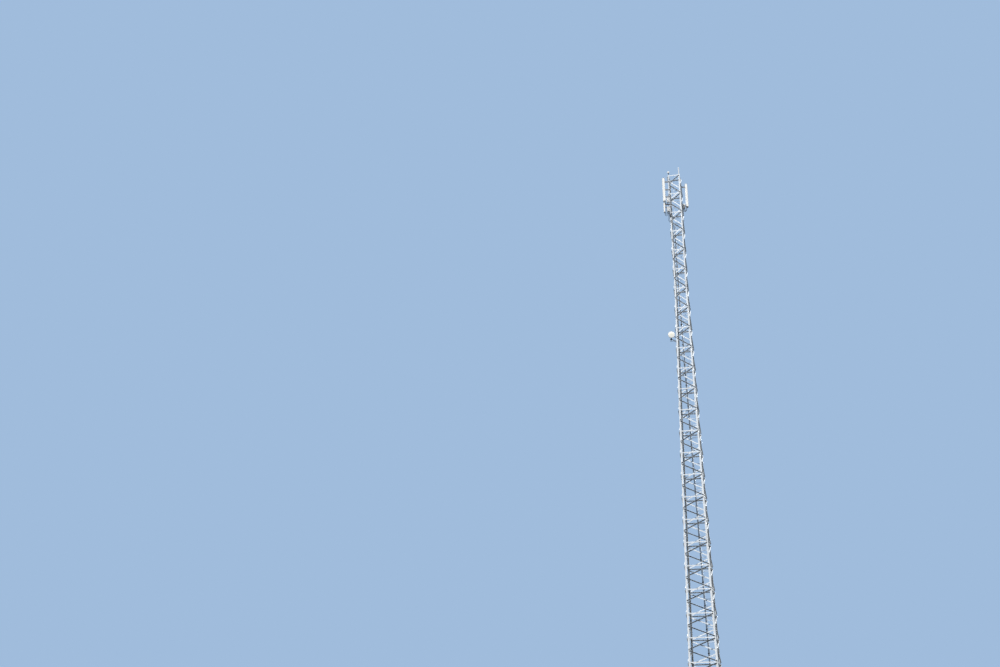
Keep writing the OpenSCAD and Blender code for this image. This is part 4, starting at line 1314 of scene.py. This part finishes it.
def make_head():
    """Antennas, radios, their connectors and boots, and what stands on the tower's top."""
    used = [
        *panel_antenna("left_panel", "left_antenna", LARGE),
        *panel_antenna("small_panel", "left_small_antenna", SMALL),
        *panel_antenna("right_panel", "right_antenna", LARGE, HALF_TURN),
    ]
    spare = []
    for name, node, low, taken, turn in (
        ("upper_radio", "left_upper_radio", UPPER_RADIO, (0, 1, 4), Matrix()),
        ("lower_radio", "left_lower_radio", LOWER_RADIO, (0, 1, 2, 3, 4), Matrix()),
        ("right_side_radio", "right_radio", RIGHT_RADIO, (0, 1, 2, 3, 4), HALF_TURN),
    ):
        wired, free = radio(name, node, low, taken, turn)
        used += wired
        spare += free
    used.append(placed(AT_DISH, DISH_PORT, -UP, ALONG, 0.85))
    set_out("connectors", used, connector, NICKEL, "galvanised_steel", 1, 2)
    set_out("connector_boots", used, boot, RUBBER, "cable_jacket")
    set_out("port_caps", spare, port_cap, RUBBER, "clamp_plastic")
    stands(built("lightning_rod", mast, PIPE_ZINC, 30), "galvanised_steel", "lightning_mast")
    dome = built("timing_dome", timing_dome, COVER, 30)
    stands(dome, "timing_antenna_cover", "timing_antenna")
    stands(built("timing_stem", timing_stem, CLAMP_PLASTIC, 30), "timing_antenna_cover")


def make_dish():
    at = AT_DISH @ Matrix.Translation((DISH_OFF, 0, 0)) @ ALONG_X
    stands(built("dish_bowl", dish_bowl, DISH_PAINT, 30, at), "dish_cover", "dish_antenna")
    stands(built("dish_face", dish_face, DISH_FACE, 30, at), "dish_cover")
    # The dish radio's near-black paint is painted shade, for the shadow under the dish.
    dressed("dish_radio", SHADE_PAINT, "dish_radio_housing", 0.0012)
    count, screws = 12, []
    for k in range(count):
        a = math.tau * (k + 0.5) / count
        outward = Vector((math.cos(a), math.sin(a), 0))
        point = outward * (DISH_R - 0.0014) + (BOWL + 0.044) * UP
        screws.append(placed(at, point, outward, SCREW_UP, 3.6))
    set_out("dish_screws", screws, bolt_head, BOLT_ZINC, "dish_cover", math.tau, 9)


make_camera()

CABLE_JACKET = black_plastic("black_jacket")
make_cords()

LEG_ZINC = galvanised("zinc_on_legs")
BRACE_ZINC = galvanised("zinc_on_bracing", grain=90)
LADDER_ZINC = galvanised("zinc_on_ladder", grain=80)
PIPE_ZINC = galvanised("zinc_on_pipes", PIPE_LIGHT, PIPE_DARK)
# Painted shade: brackets, clamps and the dish mount get a dark zinc that stands for their shade.
CLAMP_ZINC = galvanised("weathered_zinc", CLAMP_LIGHT, CLAMP_DARK, 110, 0.2)
BOLT_ZINC = bolt_zinc("zinc_on_bolts")
NICKEL = nickel("nickel_plate")
COVER = moulded_cover("white_cover")
CAP_PLASTIC = moulded_cover("pale_end_caps", CAP_WHITE, 0.46)
DISH_PAINT = moulded_cover("white_dish_paint", DISH_WHITE, 0.5)
DISH_FACE = dish_cover("chalky_dish_face")
RADIO_PAINT = painted_housing("pale_grey_paint")
# Painted shade: a near-black grey for the dish radio, which lies in the dish's shadow.
SHADE_PAINT = painted_housing("dark_grey_paint", PAINT_SHADE)
CLAMP_PLASTIC = black_plastic("black_plastic", 0.4)
RUBBER = black_plastic("black_rubber", 0.62)

make_steel()
make_head()
make_dish()
make_lights()
make_backdrop()
make_floor()

bpy.context.scene.view_settings.view_transform = "Standard"
